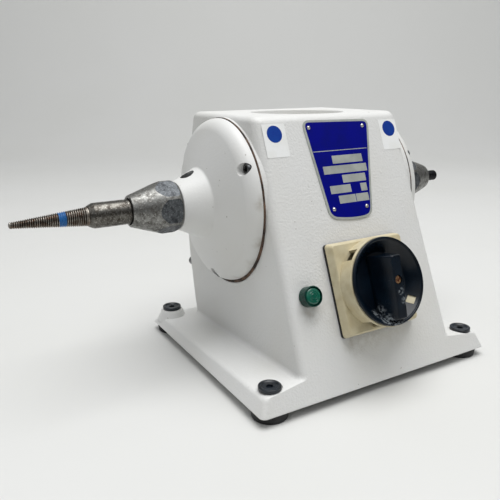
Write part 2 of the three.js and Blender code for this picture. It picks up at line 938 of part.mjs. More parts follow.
const sideName = (side) => (side < 0 ? "left" : "right");

function bellSeal(side) {
  const from = sealFaceReach + seatGap;
  const inner = barrelBoreRadius;
  const ringSolid = solid(
    alongShaft(
      turned(
        [
          [inner, from],
          [sealFaceRadius, from],
          [sealFaceRadius, from + sealThickness],
          [inner, from + sealThickness],
        ],
        wideSides,
      ),
      side,
    ),
  );
  const cuts = bellScrewPlaces().map(([y, up]) => {
    const hole = bar(boltRadius + seatGap, 0, baseWidth, screwSides);
    hole.rotateY((side * Math.PI) / 2);
    hole.translate(0, y, shaftHeight + up);
    return solid(hole);
  });
  return piece(`${sideName(side)}_seal`, cutBy(ringSolid, cuts), seal);
}

// Outer outline of a bell as [radius, place along the shaft] points, from the rim to the nose.
function bellOutline() {
  const points = [];
  const faceTurn = Math.atan(bellEdgeDepth / bellEdgeWidth / Math.tan(bellFaceAngle));
  for (let step = 0; step <= arcSteps; step++) {
    const angle = (faceTurn * step) / arcSteps;
    const radius = bellRadius - bellEdgeWidth + bellEdgeWidth * Math.cos(angle);
    points.push([radius, bellSeat + bellEdgeDepth * Math.sin(angle)]);
  }
  const [edgeRadius, edgePlace] = points[points.length - 1];
  const faceAt = (radius) => edgePlace + (edgeRadius - radius) * Math.tan(bellFaceAngle);
  const rootPlace = faceAt(noseRootRadius);
  const noseSlope = (noseRootRadius - noseTipRadius) / (noseEnd - rootPlace);
  const before = noseRootRadius + noseFilletLength;
  points.push([before, faceAt(before)]);
  points.push([noseRootRadius - noseFilletLength * noseSlope, rootPlace + noseFilletLength]);
  points.push([noseTipRadius + noseEdge * noseSlope, noseEnd - noseEdge]);
  points.push([noseTipRadius - noseEdge, noseEnd]);
  return { points, faceAt };
}

function endBell(side) {
  const { points, faceAt } = bellOutline();
  const seatStart = bearingEnd + seatGap;
  const hubStart = bearingStart;
  const profile = [
    [barrelBoreRadius - seatGap, bellSeat],
    ...points,
    [noseBoreRadius, noseEnd],
    [noseBoreRadius, seatStart],
    [bearingOuterRadius + seatGap, seatStart],
    [bearingOuterRadius + seatGap, hubStart],
    [hubRadius, hubStart],
    [hubRadius, faceAt(hubRadius) - bellWall / Math.cos(bellFaceAngle)],
    [bellInnerRadius, faceAt(bellInnerRadius) - bellWall / Math.cos(bellFaceAngle)],
    [bellInnerRadius, bellSeat - spigotLength],
    [barrelBoreRadius - seatGap, bellSeat - spigotLength],
  ];
  const body = solid(alongShaft(turned(profile, wideSides), side));
  const cuts = [];
  for (const [y, up] of bellScrewPlaces()) {
    const hole = turned(
      [
        [0, bellSeat - cutOverrun],
        [boltRadius + seatGap, bellSeat - cutOverrun],
        [boltRadius + seatGap, counterboreFloor],
        [counterboreRadius, counterboreFloor],
        [counterboreRadius, noseEnd],
        [0, noseEnd],
      ],
      smallSides,
    );
    hole.rotateY((side * Math.PI) / 2);
    hole.translate(0, y, shaftHeight + up);
    cuts.push(solid(hole));
  }
  const pinHole = bar(pinHoleRadius, noseTipRadius / 2, bellRadius, smallSides);
  pinHole.translate(side * pinHolePlace, 0, shaftHeight);
  cuts.push(solid(pinHole));
  return piece(`${sideName(side)}_end_bell`, cutBy(body, cuts), paint);
}

// Socket-head screws that hold the bells: the hexagon socket is open to the outside.
function bellScrews(side) {
  return bellScrewPlaces().map(([y, up], i) => {
    const headStart = counterboreFloor + seatGap;
    const tip = sealFaceReach - bellScrewHoleDepth + seatGap;
    const screw = turned(
      [
        [0, tip],
        [boltRadius, tip],
        [boltRadius, headStart],
        [boltHeadRadius, headStart],
        [boltHeadRadius, headStart + boltHeadHeight],
        [0, headStart + boltHeadHeight],
      ],
      screwSides,
    );
    const top = headStart + boltHeadHeight;
    const socket = bar(boltSocketRadius, top - boltSocketDepth, top + cutOverrun, hexSides);
    const made = solid(screw).subtract(solid(socket));
    const mesh = piece(`${sideName(side)}_bell_screw_${i + 1}`, made, blackOxide);
    mesh.rotation.y = (side * Math.PI) / 2;
    mesh.position.set(0, y, shaftHeight + up);
    return mesh;
  });
}

function bearingRing(name, side, inner, outer) {
  const profile = [
    [inner, bearingStart],
    [outer, bearingStart],
    [outer, bearingEnd],
    [inner, bearingEnd],
  ];
  return piece(name, solid(alongShaft(turned(profile, innerSides), side)), brightSteel);
}

// Balls in a ring cage: they run between the two rings, halfway between them.
function bearingBalls(side) {
  const middle = (bearingStart + bearingEnd) / 2;
  const track = (bearingOuterBore + bearingInnerRadius) / 2;
  const cage = turned(
    [
      [track - cageThickness / 2, middle - cageWidth / 2],
      [track + cageThickness / 2, middle - cageWidth / 2],
      [track + cageThickness / 2, middle + cageWidth / 2],
      [track - cageThickness / 2, middle + cageWidth / 2],
    ],
    ballCount,
  );
  const solids = [solid(cage)];
  for (let i = 0; i < ballCount; i++) {
    const angle = (i * 2 * Math.PI) / ballCount;
    const ball = new THREE.SphereGeometry(ballRadius, ballSides, ballRings);
    ball.translate(track * Math.cos(angle), track * Math.sin(angle), middle);
    solids.push(solid(ball));
  }
  const mesh = piece(`${sideName(side)}_bearing_balls`, joined(solids), brightSteel);
  mesh.rotation.y = (side * Math.PI) / 2;
  mesh.position.z = shaftHeight;
  return mesh;
}

function bearings(side) {
  const name = sideName(side);
  return [
    bearingRing(`${name}_bearing_outer_ring`, side, bearingOuterBore, bearingOuterRadius),
    bearingRing(`${name}_bearing_inner_ring`, side, bearingBore, bearingInnerRadius),
    bearingBalls(side),
  ];
}

// Stator stack: a ring with open slots for the winding all round its bore.
function statorCore() {
  const outer = barrelBoreRadius - seatGap;
  const half = statorLength / 2;
  const stack = turned(
    [
      [statorBoreRadius, -half],
      [outer, -half],
      [outer, half],
      [statorBoreRadius, half],
    ],
    wideSides,
  );
  const pitch = (2 * Math.PI * statorBoreRadius) / statorSlotCount;
  const width = pitch * statorSlotWidthShare;
  const cuts = [];
  for (let i = 0; i < statorSlotCount; i++) {
    const slot = block(
      [0, -width / 2, -half - cutOverrun],
      [statorBoreRadius + statorSlotDepth, width / 2, half + cutOverrun],
    );
    slot.rotateZ((i * 2 * Math.PI) / statorSlotCount);
    cuts.push(solid(slot));
  }
  const mesh = piece("stator_core", cutBy(solid(stack), cuts), lamination);
  mesh.rotation.y = Math.PI / 2;
  mesh.position.z = shaftHeight;
  return mesh;
}

// End turns of the winding: a rounded copper ring on each end of the stack.
function winding(side) {
  const from = statorLength / 2 + seatGap;
  const to = from + windingLength;
  const inner = statorBoreRadius + windingMargin;
  const outer = inner + windingWall;
  const profile = [
    [inner, from],
    [outer, from],
    [outer, to - windingSoftness],
    [outer - windingSoftness, to],
    [inner + windingSoftness, to],
    [inner, to - windingSoftness],
  ];
  const made = solid(alongShaft(turned(profile, innerSides), side));
  return piece(`${sideName(side)}_winding`, made, copper);
}

function rotorCore() {
  const outer = statorBoreRadius - rotorAirGap;
  const half = statorLength / 2 + rotorEndRing;
  const bore = shaftCoreRadius + seatGap;
  const body = turned(
    [
      [bore, -half],
      [outer, -half],
      [outer, half],
      [bore, half],
    ],
    innerSides,
  );
  const solids = [solid(body)];
  const bladeOuter = outer - rotorBladeThickness / 2;
  for (const side of [-1, 1]) {
    for (let i = 0; i < rotorBladeCount; i++) {
      const blade = block(
        [bladeOuter - rotorBladeHeight, -rotorBladeThickness / 2, half - cutOverrun],
        [bladeOuter, rotorBladeThickness / 2, half + rotorBladeLength],
      );
      blade.rotateZ((i * 2 * Math.PI) / rotorBladeCount);
      if (side < 0) blade.rotateY(Math.PI);
      solids.push(solid(blade));
    }
  }
  const mesh = piece("rotor_core", joined(solids), aluminium);
  mesh.rotation.y = Math.PI / 2;
  mesh.position.z = shaftHeight;
  return mesh;
}

function rotorShaft() {
  const core = statorLength / 2 + rotorEndRing + shaftCoreMargin;
  const shoulder = bearingStart - seatGap;
  const half = [
    [shaftCoreRadius, core],
    [shaftShoulderRadius, core],
    [shaftShoulderRadius, shoulder],
    [bearingBore - seatGap, shoulder],
    [bearingBore - seatGap, bearingEnd],
    [shaftEndRadius, bearingEnd],
    [shaftEndRadius, shaftEnd - shaftChamfer],
    [shaftEndRadius - shaftChamfer, shaftEnd],
    [0, shaftEnd],
  ];
  const mirrored = half.map(([radius, place]) => [radius, -place]).reverse();
  const made = solid(alongShaft(turned([...mirrored, ...half], innerSides), 1));
  return piece("rotor_shaft", made, machinedSteel);
}

// Adapter on the shaft end: the collar takes a locking pin, the threaded part takes the nut.
function spindleNose(side) {
  const profile = [
    [shaftEndRadius + seatGap, collarStart],
    [collarRadius, collarStart],
    [collarRadius, collarEnd],
    [threadRadius, collarEnd],
    [threadRadius, threadEnd],
    [taperOuterRadius, threadEnd],
    [taperInnerRadius, taperStart],
    [shaftEndRadius + seatGap, taperStart],
  ];
  const body = solid(turned(profile, mediumSides));
  const reach = collarRadius + cutOverrun;
  const hole = bar(collarHoleRadius, -reach, reach, smallSides);
  hole.rotateY(Math.PI / 2);
  hole.translate(0, 0, pinHolePlace);
  const mesh = piece(`${sideName(side)}_spindle_nose`, body.subtract(solid(hole)), brightSteel);
  mesh.rotation.y = (side * Math.PI) / 2;
  mesh.position.z = shaftHeight;
  return mesh;
}

function colletNut(side) {
  const bore = threadRadius + seatGap;
  const profile = [
    [bore, nutStart],
    [nutRadius - nutChamferDrop, nutStart],
    [nutRadius, nutStart + nutChamferLength],
    [nutRadius, nutLandEnd],
    [nutEndRadius, nutEnd - nutEndEdge],
    [nutEndRadius - nutEndEdge, nutEnd],
    [nutMouthRadius, nutEnd],
    [nutMouthRadius, colletEnd],
    [taperOuterRadius, threadEnd + seatGap],
    [bore, threadEnd + seatGap],
  ];
  const body = solid(turned(profile, mediumSides));
  const cuts = [];
  for (let i = 0; i < hexSides; i++) {
    const flat = block(
      [nutAcrossFlats / 2, -nutRadius, nutStart - cutOverrun],
      [nutRadius + cutOverrun, nutRadius, nutEnd],
    );
    flat.rotateZ(side * nutFlatTurn + (i * 2 * Math.PI) / hexSides);
    cuts.push(solid(flat));
  }
  const mesh = piece(`${sideName(side)}_collet_nut`, cutBy(body, cuts), machinedSteel);
  mesh.rotation.y = (side * Math.PI) / 2;
  mesh.position.z = shaftHeight;
  return mesh;
}

// Split sleeve between the taper of the nose and the cone of the nut.
function collet(side, toolRadius) {
  const slope = (taperOuterRadius - taperInnerRadius) / (threadEnd - taperStart);
  const inner = toolRadius + seatGap;
  const start = taperStart + cutOverrun;
  const startRadius = taperInnerRadius + slope * (start - taperStart) - seatGap;
  const profile = [
    [inner, start],
    [startRadius, start],
    [taperOuterRadius - seatGap, threadEnd],
    [nutMouthRadius - seatGap, colletEnd - seatGap],
    [inner, colletEnd - seatGap],
  ];
  const body = solid(turned(profile, mediumSides));
  const cuts = [];
  for (let i = 0; i < colletSlotCount; i++) {
    const slot = block(
      [0, -colletSlotWidth / 2, colletEnd - colletSlotDepth],
      [taperOuterRadius + cutOverrun, colletSlotWidth / 2, colletEnd + cutOverrun],
    );
    slot.rotateZ(((i + 1 / 2) * 2 * Math.PI) / colletSlotCount);
    cuts.push(solid(slot));
  }
  const mesh = piece(`${sideName(side)}_collet`, cutBy(body, cuts), blackOxide);
  mesh.rotation.y = (side * Math.PI) / 2;
  mesh.position.z = shaftHeight;
  return mesh;
}

// Taper spindle: a shank, thicker outside its collet, then a long taper for brushes and wheels.
function taperSpindle() {
  const profile = [
    [0, shankInnerEnd],
    [shankRadius - shaftChamfer, shankInnerEnd],
    [shankRadius, shankInnerEnd + shaftChamfer],
    [shankRadius, nutEnd + seatGap],
    [shankOuterRadius, nutEnd + seatGap],
    [shankOuterRadius, shankEnd],
    [shankChamferRadius, shankEnd + shankChamferLength],
    [taperNeckRadius, shankEnd + shankChamferLength],
    [taperTipRadius, taperEnd],
    [0, taperEnd + taperPoint],
  ];
  const made = solid(alongShaft(turned(profile, mediumSides), -1));
  return piece("taper_spindle", made, machinedSteel);
}

function plainArbor() {
  const profile = [
    [0, shankInnerEnd],
    [arborRadius, shankInnerEnd],
    [arborRadius, arborEnd - arborEdge],
    [arborRadius - arborEdge, arborEnd],
    [0, arborEnd],
  ];
  return piece("plain_arbor", solid(alongShaft(turned(profile, smallSides), 1)), blackOxide);
}

function feet() {
  return footPlaces.flatMap(({ x, y }, i) => {
    const top = baseLift - seatGap;
    const hole = footScrewRadius + seatGap;
    const foot = turned(
      [
        [hole, 0],
        [footBottomRadius, 0],
        [footBottomRadius + footEdgeInset, footEdge],
        [footRadius, top],
        [hole, top],
      ],
      capSides,
    );
    foot.translate(x, y, 0);
    const capTop = capSeatHeight + seatGap + capThickness;
    const capStart = capSeatHeight + seatGap;
    const screw = turned(
      [
        [0, footScrewTip],
        [footScrewRadius, footScrewTip],
        [footScrewRadius, capStart],
        [capRadius, capStart],
        [capRadius, capTop],
        [capRadius - capRim, capTop],
        [capRadius - capRim - capRimSlope, capTop - capDish],
        [0, capTop - capDish],
      ],
      capSides,
    );
    const socket = bar(
      capSocketRadius,
      capTop - capDish - capSocketDepth,
      capTop + cutOverrun,
      hexSides,
    );
    const made = solid(screw).subtract(solid(socket));
    const cap = piece(`foot_screw_${i + 1}`, made, blackPlastic);
    cap.position.set(x, y, 0);
    return [piece(`foot_${i + 1}`, solid(foot), blackRubber), cap];
  });
}

// Everything of the switch is drawn round its own axis and laid on the front face.
function onSwitch(name, made, material) {
  const mesh = piece(name, made, material);
  mesh.position.set(switchAcross, switchUp, 0);
  return mesh;
}

function switchGasket() {
  const half = switchPlateWidth / 2;
  const sheet = solid(
    extruded(
      roundedShape(-half, -half, half, half, switchPlateCorner),
      seatGap,
      seatGap + switchGasketThickness,
    ),
  );
  const passage = solid(bar(switchMountRadius + seatGap, -cutOverrun, switchPlateFront));
  return onSwitch("switch_gasket", sheet.subtract(passage), blackRubber);
}

// Front plate with its collar: padlock slots go through the collar beside the handle.
function switchPlate() {
  const half = switchPlateWidth / 2;
  const back = 2 * seatGap + switchGasketThickness;
  const shape = roundedShape(-half, -half, half, half, switchPlateCorner);
  const topShape = roundedShape(
    -half + switchPlateBevel,
    -half + switchPlateBevel,
    half - switchPlateBevel,
    half - switchPlateBevel,
    switchPlateCorner,
  );
  const outline = (from) => {
    const { shape: points } = from.extractPoints(cornerSteps);
    return points.slice(0, -1);
  };
  const low = outline(shape).map((p) => new THREE.Vector3(p.x, p.y, back));
  const high = outline(topShape).map((p) => new THREE.Vector3(p.x, p.y, switchPlateFront));
  const plate = solid(loft([low, high]));
  const collar = solid(bar(switchCollarRadius, back, switchCollarFront, wideSides));
  const inner = switchCollarRadius - switchCollarWall;
  const well = solid(bar(inner, switchWellFloor, switchCollarFront + cutOverrun, wideSides));
  const passage = solid(bar(stemPassageRadius, -cutOverrun, switchCollarFront, smallSides));
  const cuts = [well, passage];
  const slotBack = switchPlateFront + seatGap;
  for (let i = 0; i < padlockSlotCount; i++) {
    const slot = block(
      [inner - switchCollarWall, -padlockSlotWidth / 2, slotBack],
      [switchCollarRadius + cutOverrun, padlockSlotWidth / 2, slotBack + padlockSlotHeight],
    );
    slot.rotateZ(padlockSlotTurn + (i * 2 * Math.PI) / padlockSlotCount);
    cuts.push(solid(slot));
  }
  return onSwitch("switch_plate", cutBy(plate.add(collar), cuts), ivoryPlastic);
}

// Grip bar across the dish: narrow in front, wide at its foot, falling towards its lower end.
function gripBar() {
  const bottom = gripBottom;
  const foot = handleFloor - seatGap;
  const top = gripTop;
  const corner = gripCorner;
  const quad = (half, low, high, levelLow, levelHigh) => {
    const shape = roundedShape(-half, low, half, high, corner);
    const points = shape.extractPoints(cornerSteps).shape.slice(0, -1);
    return points.map((p) => {
      const share = (p.y - low) / (high - low);
      return new THREE.Vector3(p.x, p.y, levelLow + (levelHigh - levelLow) * share);
    });
  };
  return solid(
    loft([
      quad(gripFootHalfWidth, bottom, top + gripFootRise, foot, foot),
      quad(gripFootHalfWidth, bottom, top + gripFootRise, foot + gripFootRise, foot + gripFootRise),
      quad(gripHalfWidth, bottom, top, gripLowFront - corner, gripFront - corner),
      quad(gripHalfWidth - gripEdge, bottom + gripEdge, top - gripEdge, gripLowFront, gripFront),
    ]),
  );
}

function switchHandle() {
  const skirt = switchCollarFront + seatGap;
  const back = handleFloor - handleFloorThickness;
  const cupOuter = handleCupRadius;
  const cupInner = cupOuter - handleRimWidth;
  const cup = solid(
    turned(
      [
        [0, back],
        [cupOuter - handleWallLean, back],
        [cupOuter, skirt],
        [handleRadius, skirt],
        [handleRadius, handleRimFront - handleRimLine],
        [handleRadius - handleRimLine, handleRimFront],
        [cupOuter, handleRimFront],
        [cupOuter - handleRimLine, handleRimFront - handleRimLine],
        [cupInner - handleRimLine, handleRimFront - handleRimLine],
        [cupInner - handleFloorLean, handleFloor],
        [0, handleFloor],
      ],
      wideSides,
    ),
  );
  const within = solid(bar(cupOuter, back, gripFront + cutOverrun, wideSides));
  const body = cup.add(gripBar().intersect(within));
  const stem = switchStemWidth / 2 + seatGap;
  const behind = back - cutOverrun;
  const socket = solid(block([-stem, -stem, behind], [stem, stem, switchStemEnd + seatGap]));
  const seat = gripFrontAtAxis - handleScrewHeadDepth - handleScrewSeatDepth;
  const screwHole = solid(
    turned(
      [
        [0, back],
        [handleScrewRadius + seatGap, back],
        [handleScrewRadius + seatGap, seat],
        [handleScrewHeadRadius + seatGap, seat],
        [handleScrewHeadRadius + seatGap, gripFront + cutOverrun],
        [0, gripFront + cutOverrun],
      ],
      screwSides,
    ),
  );
  const markSide = gripFootHalfWidth + seatGap;
  const markTop = markWindowLength - markWindowPlace;
  const mark = solid(
    block(
      [markSide, -markWindowPlace, behind],
      [markSide + markWindowWidth, markTop, handleFloor + seatGap],
    ),
  );
  return onSwitch("switch_handle", cutBy(body, [socket, screwHole, mark]), blackPlastic);
}
function handleScrew() {
  const top = gripFrontAtAxis - handleScrewHeadDepth + handleScrewSeatDepth;
  const under = top - handleScrewHeadRadius + seatGap;
  const screw = turned(
    [
      [0, under - handleScrewLength],
      [handleScrewRadius, under - handleScrewLength],
      [handleScrewRadius, under],
      [handleScrewHeadRadius, under],
      [handleScrewHeadRadius, top - seatGap],
      [handleScrewHeadRadius - seatGap, top],
      [0, top],
    ],
    screwSides,
  );
  return onSwitch("handle_screw", solid(screw), brass);
}

// Square stem of the switch, with the screw's hole in its front end.
function switchStem() {
  const half = switchStemWidth / 2;
  const rod = solid(block([-half, -half, -switchStemRear], [half, half, switchStemEnd]));
  const hole = solid(bar(handleScrewRadius + seatGap, 0, switchStemEnd + cutOverrun, screwSides));
  return onSwitch("switch_stem", rod.subtract(hole), brightSteel);
}

// Contact block behind the front wall: stacked tiers on a round mounting neck.
function switchBody() {
  const half = switchBodyWidth / 2;
  const front = -wallThickness - seatGap;
  const shape = roundedShape(-half, -half, half, half, switchBodyCorner);
  const solids = [solid(extruded(shape, front - switchBodyLength, front))];
  solids.push(solid(bar(switchMountRadius, front - cutOverrun, 2 * seatGap, mediumSides)));
  const passage = bar(stemPassageRadius, -switchStemRear - seatGap, switchPlateFront, smallSides);
  const cuts = [solid(passage)];
  for (let i = 1; i < switchTierCount; i++) {
    const level = front - (switchBodyLength * i) / switchTierCount;
    const reach = half + cutOverrun;
    const slot = solid(block([-reach, -reach, level], [reach, reach, level + switchTierGroove]));
    const kept = roundedShape(
      -half + switchTierGroove,
      -half + switchTierGroove,
      half - switchTierGroove,
      half - switchTierGroove,
      switchBodyCorner,
    );
    cuts.push(slot.subtract(solid(extruded(kept, front - switchBodyLength, front))));
  }
  return onSwitch("switch_body", cutBy(joined(solids), cuts), greyPlastic);
}

function pilotLamp() {
  const front = seatGap + lampFlangeThickness;
  const holder = turned(
    [
      [lampSocketRadius, -lampBodyLength],
      [lampHoleRadius, -lampBodyLength],
      [lampHoleRadius, seatGap],
      [lampFlangeRadius, seatGap],
      [lampFlangeRadius, lampFront - lampRimWidth],
      [lampFlangeRadius - lampRimEdge, lampFront],
      [lampLensRadius + seatGap, lampFront],
      [lampLensRadius + seatGap, front],
      [lampSocketRadius, front],
    ],
    mediumSides,
  );
  const lensBack = front + seatGap;
  const lens = turned(
    [
      [0, lensBack],
      [lampLensRadius, lensBack],
      [lampLensRadius, lampFront - lampLensEdge],
      [lampLensRadius - lampLensEdge, lampFront],
      [0, lampFront],
    ],
    mediumSides,
  );
  return [
    piece("pilot_lamp_holder", solid(holder), blackPlastic),
    piece("pilot_lamp_lens", solid(lens), greenLens),
  ].map((mesh) => {
    mesh.position.set(lampAcross, lampUp, 0);
    return mesh;
  });
}

// Gland at the back: a hexagon against the wall, a domed nut and a bore for the lead.
function cableGland() {
  const start = seatGap;
  const hex = bar(glandNutRadius, start, start + glandNutLength, hexSides);
  const dome = turned(
    [
      [0, -glandInnerLength],
      [glandBodyRadius, -glandInnerLength],
      [glandBodyRadius, start + glandNutLength],
      [glandShoulderRadius, start + glandNutLength],
      [glandShoulderRadius, start + glandNutLength + glandShoulderLength],
      [glandDomeRadius, start + glandNutLength + glandDomeLength],
      [0, start + glandNutLength + glandDomeLength],
    ],
    smallSides,
  );
  const bore = bar(
    glandBoreRadius,
    -glandInnerLength - cutOverrun,
    start + glandNutLength + glandDomeLength + cutOverrun,
    smallSides,
  );
  const made = solid(hex).add(solid(dome)).subtract(solid(bore));
  const mesh = piece("cable_gland", made, blackPlastic);
  mesh.rotation.x = -Math.PI / 2 + backTurn(glandHeight);
  mesh.position.set(0, backAt(glandHeight), glandHeight);
  return mesh;
}

function capacitor() {
  const half = capacitorLength / 2;
  const profile = [
    [0, -half],
    [capacitorRadius - capacitorEdge, -half],
    [capacitorRadius, -half + capacitorEdge],
    [capacitorRadius, half - capacitorEdge],
    [capacitorRadius - capacitorEdge, half],
    [capacitorStudRadius, half],
    [capacitorStudRadius, half + capacitorStudLength],
    [0, half + capacitorStudLength],
  ];
  const mesh = piece("capacitor", solid(turned(profile, innerSides)), aluminium);
  mesh.rotation.y = Math.PI / 2;
  mesh.position.set(0, capacitorPlace, plateTop + seatGap + capacitorRadius);
  return mesh;
}

function terminalBlock() {
  const foot = plateTop + seatGap;
  const low = [blockAcross - blockLength / 2, blockPlace - blockDepth / 2, foot];
  const high = [blockAcross + blockLength / 2, blockPlace + blockDepth / 2, foot + blockHeight];
  const cuts = [];
  for (let i = 0; i < blockPoles; i++) {
    const well = bar(blockPoleRadius, high[2] - blockPoleDepth, high[2] + cutOverrun, screwSides);
    const x = low[0] + ((i + 1 / 2) * blockLength) / blockPoles;
    well.translate(x, blockPlace, 0);
    cuts.push(solid(well));
  }
  return piece("terminal_block", cutBy(solid(block(low, high)), cuts), ivoryPlastic);
}

const lathe = new THREE.Group();
lathe.add(housing(), bottomPlate(), ...bottomPlateScrews(), rearCover(), ...rearCoverScrews());
for (const side of [-1, 1]) {
  lathe.add(bellSeal(side), endBell(side), ...bellScrews(side), ...bearings(side), winding(side));
  lathe.add(spindleNose(side), colletNut(side), collet(side, side < 0 ? shankRadius : arborRadius));
}
lathe.add(statorCore(), rotorCore(), rotorShaft(), taperSpindle(), plainArbor());
lathe.add(...feet(), cableGland(), capacitor(), terminalBlock());

const front = new THREE.Group();
front.add(switchGasket(), switchPlate(), switchHandle(), handleScrew(), switchStem(), switchBody());
front.add(...pilotLamp());
front.rotation.x = Math.PI / 2 - frontLean;
front.position.set(0, -baseFrontReach, baseLift);
lathe.add(front);

// The origin is the middle of the footprint of the whole machine, on the bench.
const machine = new THREE.Group();
machine.add(lathe);
machine.updateMatrixWorld(true);
const extent = new THREE.Box3().setFromObject(machine, true);
const middle = extent.getCenter(new THREE.Vector3());
lathe.position.set(-middle.x, -middle.y, -extent.min.z);

export default machine;
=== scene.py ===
# %% [markdown]
# A bench polishing lathe from a dental laboratory.
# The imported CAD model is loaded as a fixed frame: its bodies carry every piece made here.
# The pieces that show are modelled again at full smoothness in the places of their CAD nodes.

import json
from math import asin, atan, cos, hypot, pi, radians, sin, sqrt, tan

import bmesh
import bpy
from mathutils import Matrix, Vector, noise

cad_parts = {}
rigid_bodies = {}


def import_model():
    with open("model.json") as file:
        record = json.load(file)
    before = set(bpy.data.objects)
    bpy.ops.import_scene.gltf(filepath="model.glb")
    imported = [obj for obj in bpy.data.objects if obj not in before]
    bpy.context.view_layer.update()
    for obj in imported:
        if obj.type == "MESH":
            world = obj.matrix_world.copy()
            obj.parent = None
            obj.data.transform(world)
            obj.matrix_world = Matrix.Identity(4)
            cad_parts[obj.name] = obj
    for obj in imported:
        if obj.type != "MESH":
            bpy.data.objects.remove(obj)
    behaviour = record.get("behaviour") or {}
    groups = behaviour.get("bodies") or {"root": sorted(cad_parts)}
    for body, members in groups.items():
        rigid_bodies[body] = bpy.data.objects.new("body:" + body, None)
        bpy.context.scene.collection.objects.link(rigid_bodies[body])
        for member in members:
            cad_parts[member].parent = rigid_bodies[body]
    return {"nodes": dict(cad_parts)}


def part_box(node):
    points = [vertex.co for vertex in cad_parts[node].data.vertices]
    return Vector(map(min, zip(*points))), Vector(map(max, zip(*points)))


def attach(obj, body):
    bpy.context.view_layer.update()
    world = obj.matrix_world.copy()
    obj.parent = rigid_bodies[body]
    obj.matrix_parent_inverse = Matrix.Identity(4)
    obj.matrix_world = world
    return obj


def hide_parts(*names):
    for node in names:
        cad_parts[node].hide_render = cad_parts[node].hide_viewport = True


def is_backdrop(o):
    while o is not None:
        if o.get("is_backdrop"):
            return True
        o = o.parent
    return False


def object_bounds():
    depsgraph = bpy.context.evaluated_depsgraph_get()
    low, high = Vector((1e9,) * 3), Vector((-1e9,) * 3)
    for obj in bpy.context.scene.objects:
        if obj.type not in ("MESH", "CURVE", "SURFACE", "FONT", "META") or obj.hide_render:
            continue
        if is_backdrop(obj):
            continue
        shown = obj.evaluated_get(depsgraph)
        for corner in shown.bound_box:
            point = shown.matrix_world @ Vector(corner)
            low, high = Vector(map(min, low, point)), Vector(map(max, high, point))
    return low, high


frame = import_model()
scene = bpy.context.scene
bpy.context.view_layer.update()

# %% [markdown]
# Lengths below are millimetres, as they are on a workshop drawing.
# They are measured from the machine's own middle: x from the housing's plane of symmetry,
# y from the shaft, z from the bench. The frame's boxes say where that middle lies.
# The front leans back by 22 degrees, and the side walls close in by little more than one.

# %% Machine axes
MM = 0.001
housing_low, housing_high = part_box("housing")
bell_low, bell_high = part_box("left_end_bell")
MIDDLE_X = (housing_low[0] + housing_high[0]) / 2
SHAFT_Y = (bell_low[1] + bell_high[1]) / 2
SHAFT_Z = (bell_low[2] + bell_high[2]) / 2 / MM
LEAN = radians(22.23)
DRAFT = radians(1.27)
BASE_FRONT, BASE_REAR, BASE_LIFT, BASE_HALF = -115.4, 70.3, 6.4, 102.5
FLANGE_FRONT, FLANGE_BACK, WALL_HALF = 21.6, 13.6, 67.9
ROOF, ROOF_EDGE, WALL, FLOOR_OF_WALLS = 185.7, 4.5, 5, 5.4
BULGE_RADIUS, BULGE_HEIGHT, BULGE_REACH = 262.0, 101.0, 66.2
SEAL_FACE, BELL_SEAT, NOSE_END, PIN_HOLE = 66.2, 67.6, 105.5, 95.3
HANDS = ((-1, "left"), (1, "right"))
millimetres = Matrix.Diagonal((MM, MM, MM, 1))
machine = Matrix.Translation((MIDDLE_X, SHAFT_Y, 0)) @ millimetres
print("shaft at", round(SHAFT_Y, 5), round(SHAFT_Z, 2), "middle at", round(MIDDLE_X, 5))

# %% [markdown]
# Every piece is drawn round its own Z axis and then laid in its place.
# Four places serve them all: upright on the bench, along the shaft to either side,
# out of the leaning front, and out of the bowed back.


# %% Places for pieces
def front_at(height):
    return BASE_FRONT + (height - BASE_LIFT) * tan(LEAN)


def back_at(height):
    rise = height - BULGE_HEIGHT
    return BULGE_REACH - BULGE_RADIUS + sqrt(BULGE_RADIUS**2 - rise**2)


def spun(degrees, axis="Z"):
    return Matrix.Rotation(radians(degrees), 4, axis)


def upright(x=0.0, y=0.0, z=0.0):
    return machine @ Matrix.Translation((x, y, z))


def on_shaft(side, y=0.0, up=0.0):
    return upright(0, y, SHAFT_Z + up) @ spun(side * 90, "Y")


def on_front(across, up):
    lean = Matrix.Rotation(pi / 2 - LEAN, 4, "X")
    return upright(0, BASE_FRONT, BASE_LIFT) @ lean @ Matrix.Translation((across, up, 0))


def out_of_back(x, height):
    lean = asin((height - BULGE_HEIGHT) / BULGE_RADIUS)
    turn = Matrix.Rotation(lean - pi / 2, 4, "X")
    return upright(x, back_at(height), height) @ turn


at_switch, at_lamp, at_gland = on_front(1.5, 68.5), on_front(-51.2, 69.0), out_of_back(0, 31)
print("front at the top of the wall:", round(front_at(ROOF), 1), "mm")

# %% [markdown]
# The camera stands where the photographer stood, found by fitting the base, the walls,
# the shaft and the switch to the photograph: 30 degrees to the left, 16 degrees up,
# about 0.44 m from the machine, with a 41 mm lens on a 36 mm sensor.

# %% Camera
AZIMUTH, ELEVATION, ROLL = -30.08, 16.31, -0.51
SENSOR, FOCAL_PIXELS, PHOTO_PIXELS = 36, 574.264, 500
camera_data = bpy.data.cameras.new("camera")
camera_data.sensor_width = SENSOR
camera_data.lens = SENSOR * FOCAL_PIXELS / PHOTO_PIXELS
camera = bpy.data.objects.new("camera", camera_data)
scene.collection.objects.link(camera)
look = spun(AZIMUTH) @ spun(90 - ELEVATION, "X") @ spun(ROLL)
camera.matrix_world = Matrix.Translation((-0.2327, -0.35317, 0.2081)) @ look
bpy.context.scene.camera = camera
print("camera lens", round(camera_data.lens, 2), "mm")

# %% [markdown]
# Colours are read off the photograph as ordinary sRGB hex numbers.
# One function turns them into the linear values that the renderer adds and multiplies.
# A pattern's scale is given by the size of its features in millimetres.


